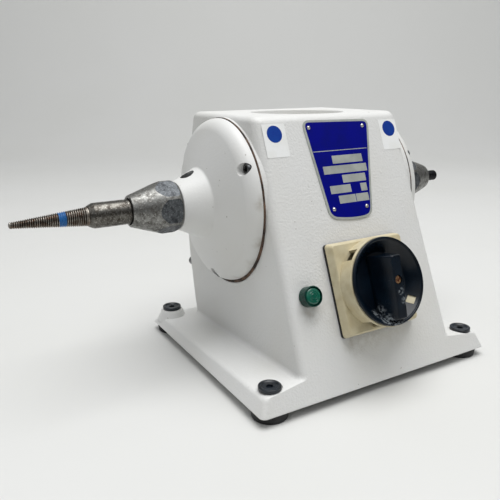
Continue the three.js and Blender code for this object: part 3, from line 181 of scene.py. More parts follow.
# %% Colours and shader nodes
def srgb(text):
    parts = [int(text[i : i + 2], 16) / 255 for i in (1, 3, 5)]
    return tuple(p / 12.92 if p <= 0.04045 else ((p + 0.055) / 1.055) ** 2.4 for p in parts) + (1.0,)


def per_mm(size):
    return 1 / (size * MM)


def add(tree, kind, inputs, **settings):
    made = tree.nodes.new("ShaderNode" + kind)
    for key, value in settings.items():
        setattr(made, key, value)
    for key, value in inputs.items():
        socket = made.inputs[key]
        if isinstance(value, bpy.types.NodeSocket):
            tree.links.new(value, socket)
        else:
            socket.default_value = value
    return made


def surface(name, **values):
    made = bpy.data.materials.new(name)
    made.use_nodes = True
    shader = made.node_tree.nodes["Principled BSDF"]
    for key, value in values.items():
        shader.inputs[key.replace("_", " ")].default_value = value
    return made, made.node_tree, shader


print("mid grey is", [round(c, 3) for c in srgb("#808080")[:3]])

# %% [markdown]
# A few patterns come back in most finishes. Spots are places where a noise rises over
# a level, near fades out round a point, blended spreads one colour over another where such
# a mask says so, and grain raises the surface a little so that light breaks up on it.


# %% Patterns
def place_of(tree):
    return add(tree, "TexCoord", {}).outputs["Object"]


def ramp(tree, value, start, end, low=0.0, high=1.0):
    ends = {"From Min": start, "From Max": end, "To Min": low, "To Max": high}
    return add(tree, "MapRange", {"Value": value, **ends}).outputs["Result"]


def cloud(tree, where, size, detail):
    inputs = {"Vector": where, "Scale": per_mm(size), "Detail": detail}
    return add(tree, "TexNoise", inputs).outputs["Fac"]


def spots(tree, where, size, low, high, detail=3.0):
    return ramp(tree, cloud(tree, where, size, detail), low, high)


def blended(tree, share, under, over):
    made = add(tree, "Mix", {0: share, 6: under, 7: over}, data_type="RGBA")
    return made.outputs[2]


def tinted(tree, shader, tone):
    tree.links.new(tone, shader.inputs["Base Color"])


def product(tree, one, other):
    return add(tree, "Math", {0: one, 1: other}, operation="MULTIPLY").outputs[0]


def grain(tree, shader, where, size, height, detail=2.0):
    relief = cloud(tree, where, size, detail)
    bump = add(tree, "Bump", {"Height": relief, "Distance": height * MM, "Strength": 1.0})
    tree.links.new(bump.outputs["Normal"], shader.inputs["Normal"])


def near(tree, where, point, reach, core):
    gap = add(tree, "VectorMath", {0: where, 1: point}, operation="DISTANCE").outputs["Value"]
    return ramp(tree, gap, reach * MM, core * MM)


print("a 1.2 mm grain has scale", round(per_mm(1.2)))

# %% [markdown]
# White powder coat on cast aluminium.
# The coat flows while it is baked and leaves an orange peel of dips a millimetre or so wide.
# Years of pumice and polish have left a faint yellow bloom. Brown dirt mixed with painted shade darkens
# the paint round the bells, under the switch and under the lamp.


# %% White paint
def stained_and_shaded_paint(name, peel, height, stains_and_shade):
    made, tree, shader = surface(name, Roughness=0.42)
    where = place_of(tree)
    bloom = spots(tree, where, 60, 0.42, 0.68, 2.0)
    coat = blended(tree, product(tree, bloom, 0.25), srgb("#dededc"), srgb("#d2cfc4"))
    rough_edge = spots(tree, where, 5, 0.35, 0.75, 4.0)
    # each stain is brown dirt and painted shade, darkest at its point and fading out over its reach
    for point, reach, core, strength in stains_and_shade:
        stain_and_shade = product(tree, near(tree, where, point, reach, core), rough_edge)
        coat = blended(tree, product(tree, stain_and_shade, strength), coat, srgb("#8d8066"))
    specks = spots(tree, where, 4, 0.735, 0.76, 3.0)
    coat = blended(tree, product(tree, specks, 0.45), coat, srgb("#6a5f4c"))
    tinted(tree, shader, coat)
    grain(tree, shader, where, peel, height)
    return made


# Brown dirt and painted shade just under the lamp, under the switch plate and beside its left edge.
front_dirt_and_shade = [(-51.2, 59.0, 11, 0.45), (-20.0, 34.0, 14, 0.55), (-4.0, 34.5, 12, 0.5)]
front_dirt_and_shade += [(16.0, 34.0, 16, 0.3), (-36.0, 60.0, 14, 0.2)]
front_dirt_and_shade = [(on_front(x, s).translation, reach, 2, share) for x, s, reach, share in front_dirt_and_shade]
paint = stained_and_shaded_paint("white_powder_coat", 1.5, 0.3, front_dirt_and_shade)
# Brown dirt and painted shade on the left bell's rim, along the front of its joint with the housing,
# mostly below the shaft.
seam_dirt_and_shade = []
for degrees in (-62, -38, -20, 8):
    turn = radians(degrees)
    point = Vector((-68.5, -60.5 * cos(turn), SHAFT_Z + 60.5 * sin(turn)))
    seam_dirt_and_shade.append((machine @ point, 7, 1, 0.6))
bell_paint = stained_and_shaded_paint("white_powder_coat_smooth", 1.8, 0.09, seam_dirt_and_shade)
print("white paint with", len(paint.node_tree.nodes), "nodes")

# %% [markdown]
# Steel that has been gripped and knocked at the bench for years.
# The turned surface is dulled by a thin brown oxide, darker in its pits,
# and rubbed bright again in patches.


# %% Bare steels
def worn_steel(name, metal, oxide, bright, rough, pit):
    made, tree, shader = surface(name, Metallic=1.0)
    where = place_of(tree)
    rust = spots(tree, where, 3.2, 0.42, 0.66, 6.0)
    rubbed = spots(tree, where, 1.1, 0.52, 0.68, 4.0)
    tone = blended(tree, rust, srgb(metal), srgb(oxide))
    tone = blended(tree, product(tree, rubbed, 0.8), tone, srgb(bright))
    tinted(tree, shader, tone)
    tree.links.new(ramp(tree, rust, 0.0, 1.0, rough, rough + 0.22), shader.inputs["Roughness"])
    grain(tree, shader, where, 0.7, pit, 4.0)
    return made


nut_steel = worn_steel("worn_steel_nut", "#82827f", "#605e5a", "#a9a8a4", 0.36, 0.045)
milled_steel = worn_steel("milled_steel_flat", "#5d6063", "#45474a", "#7d8083", 0.4, 0.02)
shank_steel = worn_steel("oxidised_steel_shank", "#65635e", "#423d38", "#93908a", 0.28, 0.025)
screw_steel = worn_steel("dulled_screw_steel", "#6b6d6f", "#403e3b", "#a2a3a3", 0.3, 0.02)
bright_steel = worn_steel("turned_steel_bright", "#c6c5c0", "#9b968c", "#e2e2de", 0.25, 0.02)
black_steel = worn_steel("black_oxide_steel", "#26262a", "#1a1816", "#4a4a4c", 0.38, 0.03)
sheet_steel = worn_steel("electrical_steel_sheet", "#6d6f73", "#55565a", "#8a8c90", 0.4, 0.03)
bare_aluminium = worn_steel("cast_aluminium_bare", "#b3b4b4", "#97989a", "#cbcccc", 0.42, 0.05)
print("eight bare metals")

# %% [markdown]
# The thread of the taper spindle is black with old rust and polish in its grooves,
# and its crests are rubbed. The mesh carries a groove attribute, 0 on a crest and 1 in a root.

# %% Threaded steel
thread_steel, tree, shader = surface("threaded_steel", Metallic=1.0, Roughness=0.42)
where = place_of(tree)
depth = add(tree, "Attribute", {}, attribute_name="groove").outputs["Fac"]
rusty = blended(tree, spots(tree, where, 2.0, 0.45, 0.6), srgb("#29231f"), srgb("#452a1c"))
crest = blended(tree, spots(tree, where, 4.0, 0.45, 0.6), srgb("#a39e96"), srgb("#756b61"))
steel = blended(tree, depth, crest, rusty)
tinted(tree, shader, steel)
grain(tree, shader, where, 0.6, 0.03)
print("threaded steel")

# %% [markdown]
# Mouldings. Black phenolic for the knob and the screw caps, an ivory thermoplastic that has
# yellowed for the switch plate, green acrylic for the lamp, and soft rubber for the feet.


# %% Plastics and rubber
def moulding(name, colour, tint, share, rough, peel, height, shine=0.5, **values):
    made, tree, shader = surface(name, Roughness=rough, Specular_IOR_Level=shine, **values)
    where = place_of(tree)
    clouds = product(tree, spots(tree, where, 9, 0.4, 0.65, 4.0), share)
    tone = blended(tree, clouds, srgb(colour), srgb(tint))
    tinted(tree, shader, tone)
    grain(tree, shader, where, peel, height)
    return made


black_plastic = moulding("black_phenolic", "#0b1118", "#1c2733", 0.6, 0.34, 1.4, 0.02)
ivory_plastic = moulding("yellowed_ivory_plastic", "#cfc5a6", "#b3a37b", 0.5, 0.42, 1.8, 0.02)
grey_plastic = moulding("grey_phenolic", "#54575b", "#44464a", 0.5, 0.5, 1.5, 0.02)
green_lens = moulding("green_acrylic", "#06604c", "#033d31", 0.7, 0.12, 3.0, 0.01, Coat_Weight=0.5)
lamp_green = moulding("dark_green_acrylic", "#02322a", "#064236", 0.6, 0.25, 2.0, 0.02, 0.25)
rubber = moulding("black_rubber", "#141416", "#232323", 0.6, 0.68, 0.7, 0.03)
sealant = moulding("brown_sealant", "#2a1f19", "#755a47", 0.9, 0.75, 1.2, 0.15)
copper = moulding("enamelled_copper", "#9a4f24", "#7d3a18", 0.6, 0.35, 0.8, 0.12, Metallic=0.8)
white_vinyl = moulding("white_vinyl_label", "#f0f1f0", "#e4e4de", 0.4, 0.4, 3.0, 0.004)
blue_print = moulding("blue_printing_ink", "#06328c", "#0b4499", 0.5, 0.45, 3.0, 0.004, 0.2)
blue_enamel = moulding("blue_enamelled_plate", "#00057c", "#02096a", 0.6, 0.3, 4.0, 0.006, 0.12)
silver_print = moulding("bare_aluminium_plate", "#b6bab4", "#9b9f9c", 0.6, 0.5, 1.0, 0.01, Metallic=0.4)
blue_band = moulding("blue_marking_paint", "#2a6cac", "#1d4f84", 0.7, 0.42, 0.8, 0.03)
print("mouldings and prints ready")

# %% [markdown]
# Meshes are made from lists of corners and faces, or from rings of equally many points.
# A turned piece is a profile of radius and height swept round its axis.


# %% Mesh helpers
def polar(radius, angle):
    return radius * cos(angle), radius * sin(angle)


def built(name, corners, faces, place):
    mesh = bpy.data.meshes.new(name)
    mesh.from_pydata([place @ Vector(c) for c in corners], [], faces)
    work = bmesh.new()
    work.from_mesh(mesh)
    bmesh.ops.remove_doubles(work, verts=work.verts, dist=1e-7)
    bmesh.ops.recalc_face_normals(work, faces=work.faces)
    work.to_mesh(mesh)
    work.free()
    made = bpy.data.objects.new(name, mesh)
    scene.collection.objects.link(made)
    return made


def lofted(name, rings, place):
    count = len(rings[0])
    corners = [point for ring in rings for point in ring]
    faces = []
    for r in range(len(rings) - 1):
        low, high = r * count, (r + 1) * count
        for i in range(count):
            j = (i + 1) % count
            faces.append((low + i, low + j, high + j, high + i))
    faces.append(tuple(reversed(range(count))))
    faces.append(tuple(range((len(rings) - 1) * count, len(rings) * count)))
    return built(name, corners, faces, place)


def turned(name, profile, place, sides):
    corners, rows = [], []
    for radius, height in profile:
        if radius == 0:
            rows.append([len(corners)] * sides)
            corners.append((0, 0, height))
            continue
        rows.append(range(len(corners), len(corners) + sides))
        for i in range(sides):
            angle = 2 * pi * i / sides
            corners.append((*polar(radius, angle), height))
    faces = []
    closed = profile[0][0] > 0 or profile[-1][0] > 0
    pairs = list(zip(rows, rows[1:])) + ([(rows[-1], rows[0])] if closed else [])
    for low, high in pairs:
        for i in range(sides):
            j = (i + 1) % sides
            ring = dict.fromkeys((low[i], low[j], high[j], high[i]))
            if len(ring) > 2:
                faces.append(tuple(ring))
    return built(name, corners, faces, place)


print("loft and lathe ready")

# %% [markdown]
# Outlines are lists of flat points: arcs, soft corners, plates with round corners and oblongs.
# A prism stands on an outline, and a rod is the plainest turned piece.


# %% Outlines, prisms and rods
def arc(centre, radius, start, end, steps):
    points = []
    for i in range(steps + 1):
        x, y = polar(radius, radians(start + (end - start) * i / steps))
        points.append((centre[0] + x, centre[1] + y))
    return points


def curve3(first, middle, last, steps):
    points = []
    for i in range(steps + 1):
        b = i / steps
        a = 1 - b
        points.append(tuple(a * a * p + 2 * a * b * q + b * b * r for p, q, r in zip(first, middle, last)))
    return points


def rounded(left, bottom, right, top, radius, steps=8):
    points = arc((right - radius, bottom + radius), radius, -90, 0, steps)
    points += arc((right - radius, top - radius), radius, 0, 90, steps)
    points += arc((left + radius, top - radius), radius, 90, 180, steps)
    points += arc((left + radius, bottom + radius), radius, 180, 270, steps)
    return points


def oblong(left, bottom, right, top):
    return [(left, bottom), (right, bottom), (right, top), (left, top)]


def prism(name, points, low, high, place):
    return lofted(name, [[(x, y, z) for x, y in points] for z in (low, high)], place)


def rod(name, radius, low, high, place, sides=64):
    return turned(name, oblong(0, low, radius, high), place, sides)


print("outlines, prisms and rods ready")

# %% [markdown]
# Castings and mouldings are cut as they are in the workshop: a body, then tools taken from it.
# Blender's exact boolean does each cut, the result becomes the piece's own mesh, and corners
# that a cut leaves less than a micron apart become one.


# %% Cutting
def settled(made):
    graph = bpy.context.evaluated_depsgraph_get()
    mesh = bpy.data.meshes.new_from_object(made.evaluated_get(graph))
    work = bmesh.new()
    work.from_mesh(mesh)
    bmesh.ops.remove_doubles(work, verts=work.verts, dist=0.001 * MM)
    work.to_mesh(mesh)
    work.free()
    made.modifiers.clear()
    made.data = mesh


def worked(made, tools, operation="DIFFERENCE"):
    for tool in tools:
        cut = made.modifiers.new("cut", "BOOLEAN")
        cut.operation = operation
        cut.solver = "EXACT"
        cut.object = tool
    settled(made)
    for tool in tools:
        bpy.data.objects.remove(tool)
    return made


def softened(made, width, angle, steps=2):
    edge = made.modifiers.new("soft", "BEVEL")
    edge.width = width * MM
    edge.segments = steps
    edge.limit_method = "ANGLE"
    edge.angle_limit = radians(angle)
    settled(made)


print("cutting tools ready")

# %% [markdown]
# The last step gives a piece its finish and its material slot, hides the CAD node it stands for and hangs
# the piece on its body.
# A piece rides on the base unless it says otherwise.


# %% Finishing
def finished(made, material, node=None, body="base", angle=32):
    made.data.materials.clear()
    made.data.materials.append(material)
    made.data.shade_smooth()
    made.data.set_sharp_from_angle(angle=radians(angle))
    even = made.modifiers.new("even", "WEIGHTED_NORMAL")
    even.keep_sharp = True
    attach(made, body)
    if node:
        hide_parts(node)


print("finishing ready")

# %% [markdown]
# The cast housing. One level outline is drawn at each height and the skin runs over them all:
# the sloped bands of the base, the flanges that climb to the wall, the leaning front,
# the bowed back and the rounded rim of the roof.


# %% Housing outlines
def mix(a, b, share):
    return a + (b - a) * share


def side_at(height):
    return WALL_HALF - (height - FLANGE_FRONT) * tan(DRAFT)


def outline(front_low, back_low, half, front, rear, front_radius, rear_radius, flare=None):
    points = []
    back, fore = (rear - rear_radius, rear_radius), (front + front_radius, front_radius)
    turns = ((1, back), (-1, back), (-1, fore), (1, fore))
    for quarter, (hand, (y, radius)) in enumerate(turns):
        for step in range(9):
            dx, dy = polar(radius, (quarter + step / 8) * pi / 2)
            height = mix(front_low, back_low, (y + dy - front) / (rear - front))
            reach = half if flare is None else side_at(height) + flare
            points.append((hand * (reach - radius) + dx, y + dy, height))
    return points


def wall_outline(height, inset=0.0, wall=0.0, radii=(5.0, 2.0)):
    front = front_at(height) + inset + wall / cos(LEAN)
    rear = back_at(height) - inset - wall
    return outline(height, height, 0, front, rear, radii[0], radii[1], -inset - wall)


def between(first, second, share):
    return [tuple(mix(a, b, share) for a, b in zip(p, q)) for p, q in zip(first, second)]


print("outline of", len(wall_outline(100)), "points")

# %% [markdown]
# Hard corners of the drawing are eased as paint and foundry sand ease them.
# A corner ring is replaced by a short curve of rings between its two neighbours.


# %% Housing skin
def eased(first, corner, second, before, after):
    start = between(corner, first, before)
    end = between(corner, second, after)
    shares = (0, 0.25, 0.5, 0.75, 1)
    return [between(between(start, corner, t), between(corner, end, t), t) for t in shares]


foot_inner = outline(BASE_LIFT, BASE_LIFT, BASE_HALF - 1.4, BASE_FRONT + 1.4, BASE_REAR - 1.4, 4, 4)
foot_edge = outline(BASE_LIFT, BASE_LIFT, BASE_HALF, BASE_FRONT, BASE_REAR, 4, 4)
ridge = outline(18.2, 12.6, 97.6, front_at(18.2), 65.4, 4, 4)
FILLET = 3
fillet = []
for step in range(7):
    turn = radians(90 * step / 6)
    away, rise = FILLET * (1 - sin(turn)), FILLET * (1 - cos(turn))
    low, high = FLANGE_BACK + rise, FLANGE_FRONT + rise
    fillet.append(outline(high, low, 0, front_at(high), back_at(low) + away, 5, 2 + away, away))
skin = [foot_inner] + eased(foot_inner, foot_edge, ridge, 0.8, 0.1)
skin += eased(foot_edge, ridge, fillet[0], 0.2, 0.09) + fillet
wall_top = ROOF - ROOF_EDGE
for i in range(29):
    share = i / 28
    skin.append(wall_outline(mix(30.6, wall_top, share), radii=(mix(5, 8, share), 2)))
for step in range(1, 9):
    turn = radians(90 * step / 8)
    inset, rise = ROOF_EDGE * (1 - cos(turn)), ROOF_EDGE * sin(turn)
    skin.append(wall_outline(wall_top + rise, inset, 0, (8 - inset, max(2 - inset, 1))))
housing = lofted("cast_housing", skin, upright())
print("housing skin:", len(housing.data.polygons), "faces")

# %% [markdown]
# Inside it is hollow, with the motor's barrel and the screw bosses cast in.
# The machined faces, bores, recess and holes are cut last, each with its own tool.

# %% Housing cuts
levels = [mix(FLOOR_OF_WALLS, ROOF - WALL, i / 12) for i in range(13)]
cavity = [wall_outline(level, 0, WALL, (3.5, 3.5)) for level in levels]
worked(housing, [lofted("cavity", cavity, upright())])
grown = [rod("barrel", 55, -SEAL_FACE - 0.3, SEAL_FACE + 0.3, on_shaft(1), 96)]
grown.append(rod("pan", 39, 174.7, 182.7, upright(), 96))
SCREW_CIRCLE, SCREW_START = 55.8, 57.8
screw_turns = [radians(SCREW_START + 120 * i) for i in range(3)]
screw_places = [(-SCREW_CIRCLE * sin(t), SCREW_CIRCLE * cos(t)) for t in screw_turns]
for side in (-1, 1):
    grown.append(rod("seal_face", 61.2, 61.2, SEAL_FACE + 0.4, on_shaft(side), 96))
    grown += [rod("boss", 4.6, 48.2, SEAL_FACE + 0.1, on_shaft(side, y, up)) for y, up in screw_places]
foot_places = [(x, y) for y in (-101.8, 58.7) for x in (-88.5, 88.5)]
for x, y in foot_places[2:]:
    dome = [(0, 9.6), (12.6, 9.6), (11.9, 12.4), (11.0, 13.6), (9.3, 18.0), (8.4, 18.9), (0, 18.9)]
    grown.append(turned("foot_boss", dome, upright(x, y), 64))
worked(housing, grown, "UNION")
cuts = [rod("bore", 50.3, -103, 103, on_shaft(1), 96)]
for side in (-1, 1):
    spot = rod("spot_face", 63.5, SEAL_FACE, 103, on_shaft(side), 128)
    keep = prism("above", rounded(-103, -103, 103, 103, 1, 1), 25, 400, upright())
    cuts.append(worked(spot, [keep], "INTERSECT"))
    cuts += [rod("tapped", 2.8, 51.2, 67.2, on_shaft(side, y, up), 24) for y, up in screw_places]
recess = [(0, 177.7), (34.8, 177.7)] + arc((34.8, 178.9), 1.2, -90, 0, 5)
recess += arc((37.2, 184.5), 1.2, 180, 90, 5) + [(37.2, 187), (0, 187)]
cuts.append(turned("recess", recess, upright(), 128))
cuts.append(prism("lead_slot", rounded(-20, -12, 20, 12, 2), 65.8, 72.5, upright()))
from_behind = machine @ spun(90, "X")
cuts.append(prism("window", rounded(-48, 62, 48, 148, 5), -67.2, -56, from_behind))
cover_screws = [(x, z) for z in (57, 157) for x in (-62.3, 62.3)]
cuts += [rod("cover_hole", 2.2, -11, 1, out_of_back(x, z), 24) for x, z in cover_screws]
print("housing tools:", len(cuts))

# %% [markdown]
# The underside takes a rebated plate, and each foot has a through hole and a flat for its cap.
# Round ways go through the walls for the switch, the lamp and the cable gland.

# %% Housing underside and round ways
rebate_half = side_at(BASE_LIFT) - WALL + 8
rebate_front = BASE_FRONT + WALL / cos(LEAN) - 2.3
rebate_rear = back_at(BASE_LIFT) - WALL + 8
rebate = rounded(-rebate_half, rebate_front, rebate_half, rebate_rear, 0.5, 1)
cuts.append(prism("rebate", rebate, FLOOR_OF_WALLS, 8.5, upright()))
for y in (rebate_front + 6.3, rebate_rear - 6.3):
    for x in (6.3 - rebate_half, rebate_half - 6.3):
        cuts.append(rod("plate_hole", 2.2, FLOOR_OF_WALLS, 19.5, upright(x, y), 24))
for x, y in foot_places:
    cuts.append(rod("foot_hole", 3.0, 0, 60, upright(x, y), 32))
    cuts.append(rod("cap_flat", 8.5, 18.9, 60, upright(x, y), 64))
cuts.append(rod("switch_hole", 10.3, -10, 1, at_switch))
cuts.append(rod("lamp_hole", 5.5, -10, 1, at_lamp))
cuts.append(rod("gland_hole", 6.3, -10, 1, at_gland))
worked(housing, cuts)
finished(housing, paint, "housing")
print("housing:", len(housing.data.polygons), "faces")

# %% [markdown]
# Each end bell is one turned casting: a rounded rim, a shallow cone, and a nose that flows out
# of it. Inside it is hollow, with a wall of even thickness and a seat for the bearing.

# %% End bell profile
RIM_RADIUS, RIM_WIDTH, RIM_DEPTH = 60.7, 13.0, 11.0
ROOT_RADIUS, TIP_RADIUS, ROOT_FILLET = 26.0, 17.4, 1.0
face_slope = tan(radians(19))
rim = []
for i in range(25):
    turn = atan(RIM_DEPTH / RIM_WIDTH / face_slope) * i / 24
    rim.append((RIM_RADIUS - RIM_WIDTH * (1 - cos(turn)), BELL_SEAT + RIM_DEPTH * sin(turn)))
edge_radius, edge_place = rim[-1]


def face_at(radius):
    return edge_place + (edge_radius - radius) * face_slope


root = face_at(ROOT_RADIUS)
nose_slope = (ROOT_RADIUS - TIP_RADIUS) / (NOSE_END - root)
before = ROOT_RADIUS + ROOT_FILLET
after = (ROOT_RADIUS - ROOT_FILLET * nose_slope, root + ROOT_FILLET)
nose = curve3((before, face_at(before)), (ROOT_RADIUS, root), after, 8)
nose.append((TIP_RADIUS + 0.8 * nose_slope, NOSE_END - 0.8))
lip = (TIP_RADIUS + 0.5 * nose_slope, NOSE_END - 0.5)
nose += curve3(lip, (TIP_RADIUS, NOSE_END), (TIP_RADIUS - 0.5, NOSE_END), 4)
SHELL = 4.9
hollow = [(15, NOSE_END), (15, 88.6), (20.3, 88.6), (20.3, 76.3), (24.5, 76.3)]
hollow += [(24.5, face_at(24.5) - SHELL), (45.9, face_at(45.9) - SHELL)]
hollow += [(45.9, 62.6), (50.0, 62.6), (50.0, BELL_SEAT)]
print("bell profile:", len(rim + nose + hollow), "points")

# %% [markdown]
# Three counterbores hide the screws, and a hole in the nose takes the locking pin.
# The walls of that hole are left bare of paint.

# %% End bell castings
for side, hand in HANDS:
    bell = turned(f"{hand}_bell_casting", rim + nose + hollow, on_shaft(side), 128)
    holes = []
    for y, up in screw_places:
        bore = [(0, 60), (2.8, 60), (2.8, 69.0), (4.3, 69.0), (4.3, 105), (0, 105)]
        holes.append(turned("counterbore", bore, on_shaft(side, y, up), 48))
    holes.append(rod("pin_hole", 5, 8, 60, upright(side * PIN_HOLE, 0, SHAFT_Z), 48))
    worked(bell, holes)
    softened(bell, 0.5, 38, 3)
    finished(bell, bell_paint, f"{hand}_end_bell")
    bell.data.materials.append(bare_aluminium)
    axis = upright(side * PIN_HOLE).translation
    for polygon in bell.data.polygons:
        away = hypot(polygon.center.x - axis.x, polygon.center.y - axis.y) / MM
        if away < 5.05 and abs(polygon.normal.z) < 0.5:
            polygon.material_index = 1
print("two bells of", len(bell.data.polygons), "faces")

# %% [markdown]
# Between bell and housing sits a bead of sealant, squeezed out unevenly and brown with dirt.
# It is widest at the bottom of the joint, and its edge wanders by half a millimetre.

# %% Sealant beads
AROUND = 240
for side, hand in HANDS:
    rings = []
    for i in range(AROUND):
        angle = 2 * pi * i / AROUND
        wander = noise.noise(Vector((4 * cos(angle), 4 * sin(angle), side)))
        lumps = noise.noise(Vector((25 * cos(angle), 25 * sin(angle), side)))
        low_side = 0.5 + 0.5 * side * cos(angle)
        outer = 61.0 + 1.9 * low_side**2 + 0.35 * wander + 0.25 * lumps
        section = [(50.3, 66.3), (outer, 66.25), (outer + 0.2, 66.6), (outer - 0.1, 67.2)]
        section += [(outer - 0.7, 67.5), (50.3, 67.5)]
        rings.append([(*polar(r, angle), h) for r, h in section])
    corners = [point for ring in rings for point in ring]
    faces = []
    for i in range(AROUND):
        low, high = i * 6, ((i + 1) % AROUND) * 6
        faces += [(low + j, low + (j + 1) % 6, high + (j + 1) % 6, high + j) for j in range(6)]
    bead = built(f"{hand}_sealant_bead", corners, faces, on_shaft(side))
    holes = [rod("screw_hole", 2.8, 60, 70, on_shaft(side, y, up), 24) for y, up in screw_places]
    worked(bead, holes)
    finished(bead, sealant, f"{hand}_seal", angle=60)
print("two sealant beads")

# %% [markdown]
# Socket-head screws with a small chamfer and an open hexagon, sunk in the counterbores.
# Three of them draw each bell against its bead.

# %% Bell screws
screw = [(0, 51.5), (2.2, 51.5), (2.5, 51.9), (2.5, 69.1), (3.7, 69.1), (3.7, 73.1), (3.4, 73.4)]
screw += [(2.6, 73.4), (2.4, 73.2), (0, 73.2)]


def hexagon(radius, start=0):
    return [polar(radius, radians(60 * k + start)) for k in range(6)]


for side, hand in HANDS:
    for i, (y, up) in enumerate(screw_places):
        place = on_shaft(side, y, up)
        made = turned(f"{hand}_socket_screw_{i + 1}", screw, place, 40)
        worked(made, [prism("socket", hexagon(2.2), 70.6, 78, place)])
        finished(made, screw_steel, f"{hand}_bell_screw_{i + 1}")
print("six socket screws")

# %% [markdown]
# The collet nut is a cone with six flats milled into its large end, so that a spanner fits.
# The mill leaves each flat with a round end where it runs out on the cone.

# %% Collet nuts
NUT_START, NUT_LAND, NUT_END, NUT_RADIUS, NUT_TIP = 106.3, 117.0, 140.3, 18.9, 11.2
nut = [(12.3, NUT_START), (17.0, NUT_START)]
nut += curve3((17.2, NUT_START), (18.9, 107.4), (NUT_RADIUS, 109.3), 6)
nut += [(NUT_RADIUS, 111.0 + 1.5 * i) for i in range(4)]
for i in range(24):
    share = i / 23
    nut.append((mix(NUT_RADIUS, NUT_TIP, share), mix(NUT_LAND, NUT_END - 0.5, share)))
nut += curve3((11.1, 140.0), (11.0, NUT_END), (10.7, NUT_END), 3) + [(9.6, NUT_END), (9.3, 140.0)]
nut += [(9.3, 139.2), (11.1, 128.3), (12.3, 128.3)]
for side, hand in HANDS:
    made = turned(f"{hand}_cone_nut", nut, on_shaft(side), 120)
    flats = []
    for i in range(6):
        place = on_shaft(side) @ spun(60 * i - side * 30)
        flats.append(prism("flat", oblong(16.9, -20, 22, 20), 104, 141, place))
    worked(made, flats)
    softened(made, 0.25, 24)
    finished(made, nut_steel, f"{hand}_collet_nut", body="rotor", angle=30)
    made.data.materials.append(milled_steel)
    for polygon in made.data.polygons:
        gap_y, gap_z = polygon.center.y - SHAFT_Y, polygon.center.z - SHAFT_Z * MM
        if abs(polygon.normal.x) < 0.02 and 16 < hypot(gap_y, gap_z) / MM < 17.5:
            polygon.material_index = 1
print("two collet nuts of", len(made.data.polygons), "faces")

# %% [markdown]
# Behind each nut shows the ring of the spindle nose, with the cross hole for the locking pin.
# Each collet is a hardened sleeve slit in three places.

# %% Noses and collets
nose_ring = [(8.3, 88.9), (14.1, 88.9), (14.4, 89.2), (14.4, 104.6), (14.1, 104.9), (12, 104.9)]
nose_ring += [(12, 128), (11.1, 128), (9.3, 113), (8.3, 113)]
for side, hand, tool in ((-1, "left", 8.0), (1, "right", 4.6)):
    ring = turned(f"{hand}_nose_ring", nose_ring, on_shaft(side), 96)
    worked(ring, [rod("pin_way", 4.6, -16, 16, upright(side * PIN_HOLE, 0, SHAFT_Z), 48)])
    finished(ring, bright_steel, f"{hand}_spindle_nose", body="rotor")
    sleeve = [(tool + 0.3, 114), (9.1, 114), (10.8, 128), (9.0, 138.7), (8.8, 138.9), (tool + 0.3, 138.9)]
    sleeve = turned(f"{hand}_split_sleeve", sleeve, on_shaft(side), 72)
    slots = []
    for i in range(3):
        place = on_shaft(side) @ spun(60 + 120 * i)
        slots.append(prism("slot", oblong(0, -0.45, 13, 0.45), 120.2, 141, place))
    worked(sleeve, slots)
    finished(sleeve, black_steel, f"{hand}_collet", body="rotor")
print("nose rings and sleeves on both sides")

# %% [markdown]
# The taper spindle. Its thread is cut on the taper so that a felt wheel screws itself on,
# with about 36 turns between shoulder and tip. The surface is swept as one helix:
# the radius falls in each groove, and the groove's depth is stored for the finish.

# %% Taper spindle
SIDES, STEPS = 60, 8
PITCH, DEPTH, THREAD_START, THREAD_END = 1.36, 0.62, 169.6, 218.2
TAPER_START, TAPER_END = 169.1, 218
BAND_START, BAND_END = 183.6, 188.4
rows = int((THREAD_END - THREAD_START) / PITCH * STEPS)
shank = [(0, 115), (7.2, 115), (8, 115.8), (8, 140.6), (8.4, 140.6), (8.7, 140.9), (8.7, 142.6)]
shank += [(8.4, 142.9), (8.4, 143.5), (8.7, 143.8), (8.7, 164.7)]
shank += curve3((8.7, 165.0), (8.7, 165.4), (8.5, 165.8), 3) + [(7.1, 168.9), (6.5, 169.1)]


def taper_radius(along):
    return mix(6.55, 2.15, (along - TAPER_START) / (TAPER_END - TAPER_START))


rings = [[(radius, along, 0.15)] * SIDES for radius, along in shank[1:]]
for row in range(rows + 1):
    ring = []
    for i in range(SIDES):
        along = THREAD_START + (THREAD_END - THREAD_START) * row / rows
        phase = ((along - THREAD_START) / PITCH + i / SIDES) % 1
        dip = min(1.0, max(0.0, 1.5 * abs(2 * phase - 1) - 0.25))
        fade = min(1, along - THREAD_START, THREAD_END - along)
        radius = taper_radius(along) - DEPTH * dip * fade * min(1, taper_radius(along) / 3)
        ring.append((radius, along, dip * fade))
    rings.append(ring)
rings.append([(0.9, 218.9, 0.3)] * SIDES)
angles = [2 * pi * i / SIDES for i in range(SIDES)]
skin = [[(*polar(r, angle), along) for (r, along, sunk), angle in zip(ring, angles)] for ring in rings]
spindle = lofted("threaded_taper_spindle", skin, on_shaft(-1))
groove = [sunk for ring in rings for radius, along, sunk in ring]
print("spindle:", len(spindle.data.polygons), "faces")

# %% [markdown]
# The spindle has three finishes: the dull shank, the thread, and a ring of blue marking paint
# that wraps three or four turns of the thread. The right collet holds a plain stub.

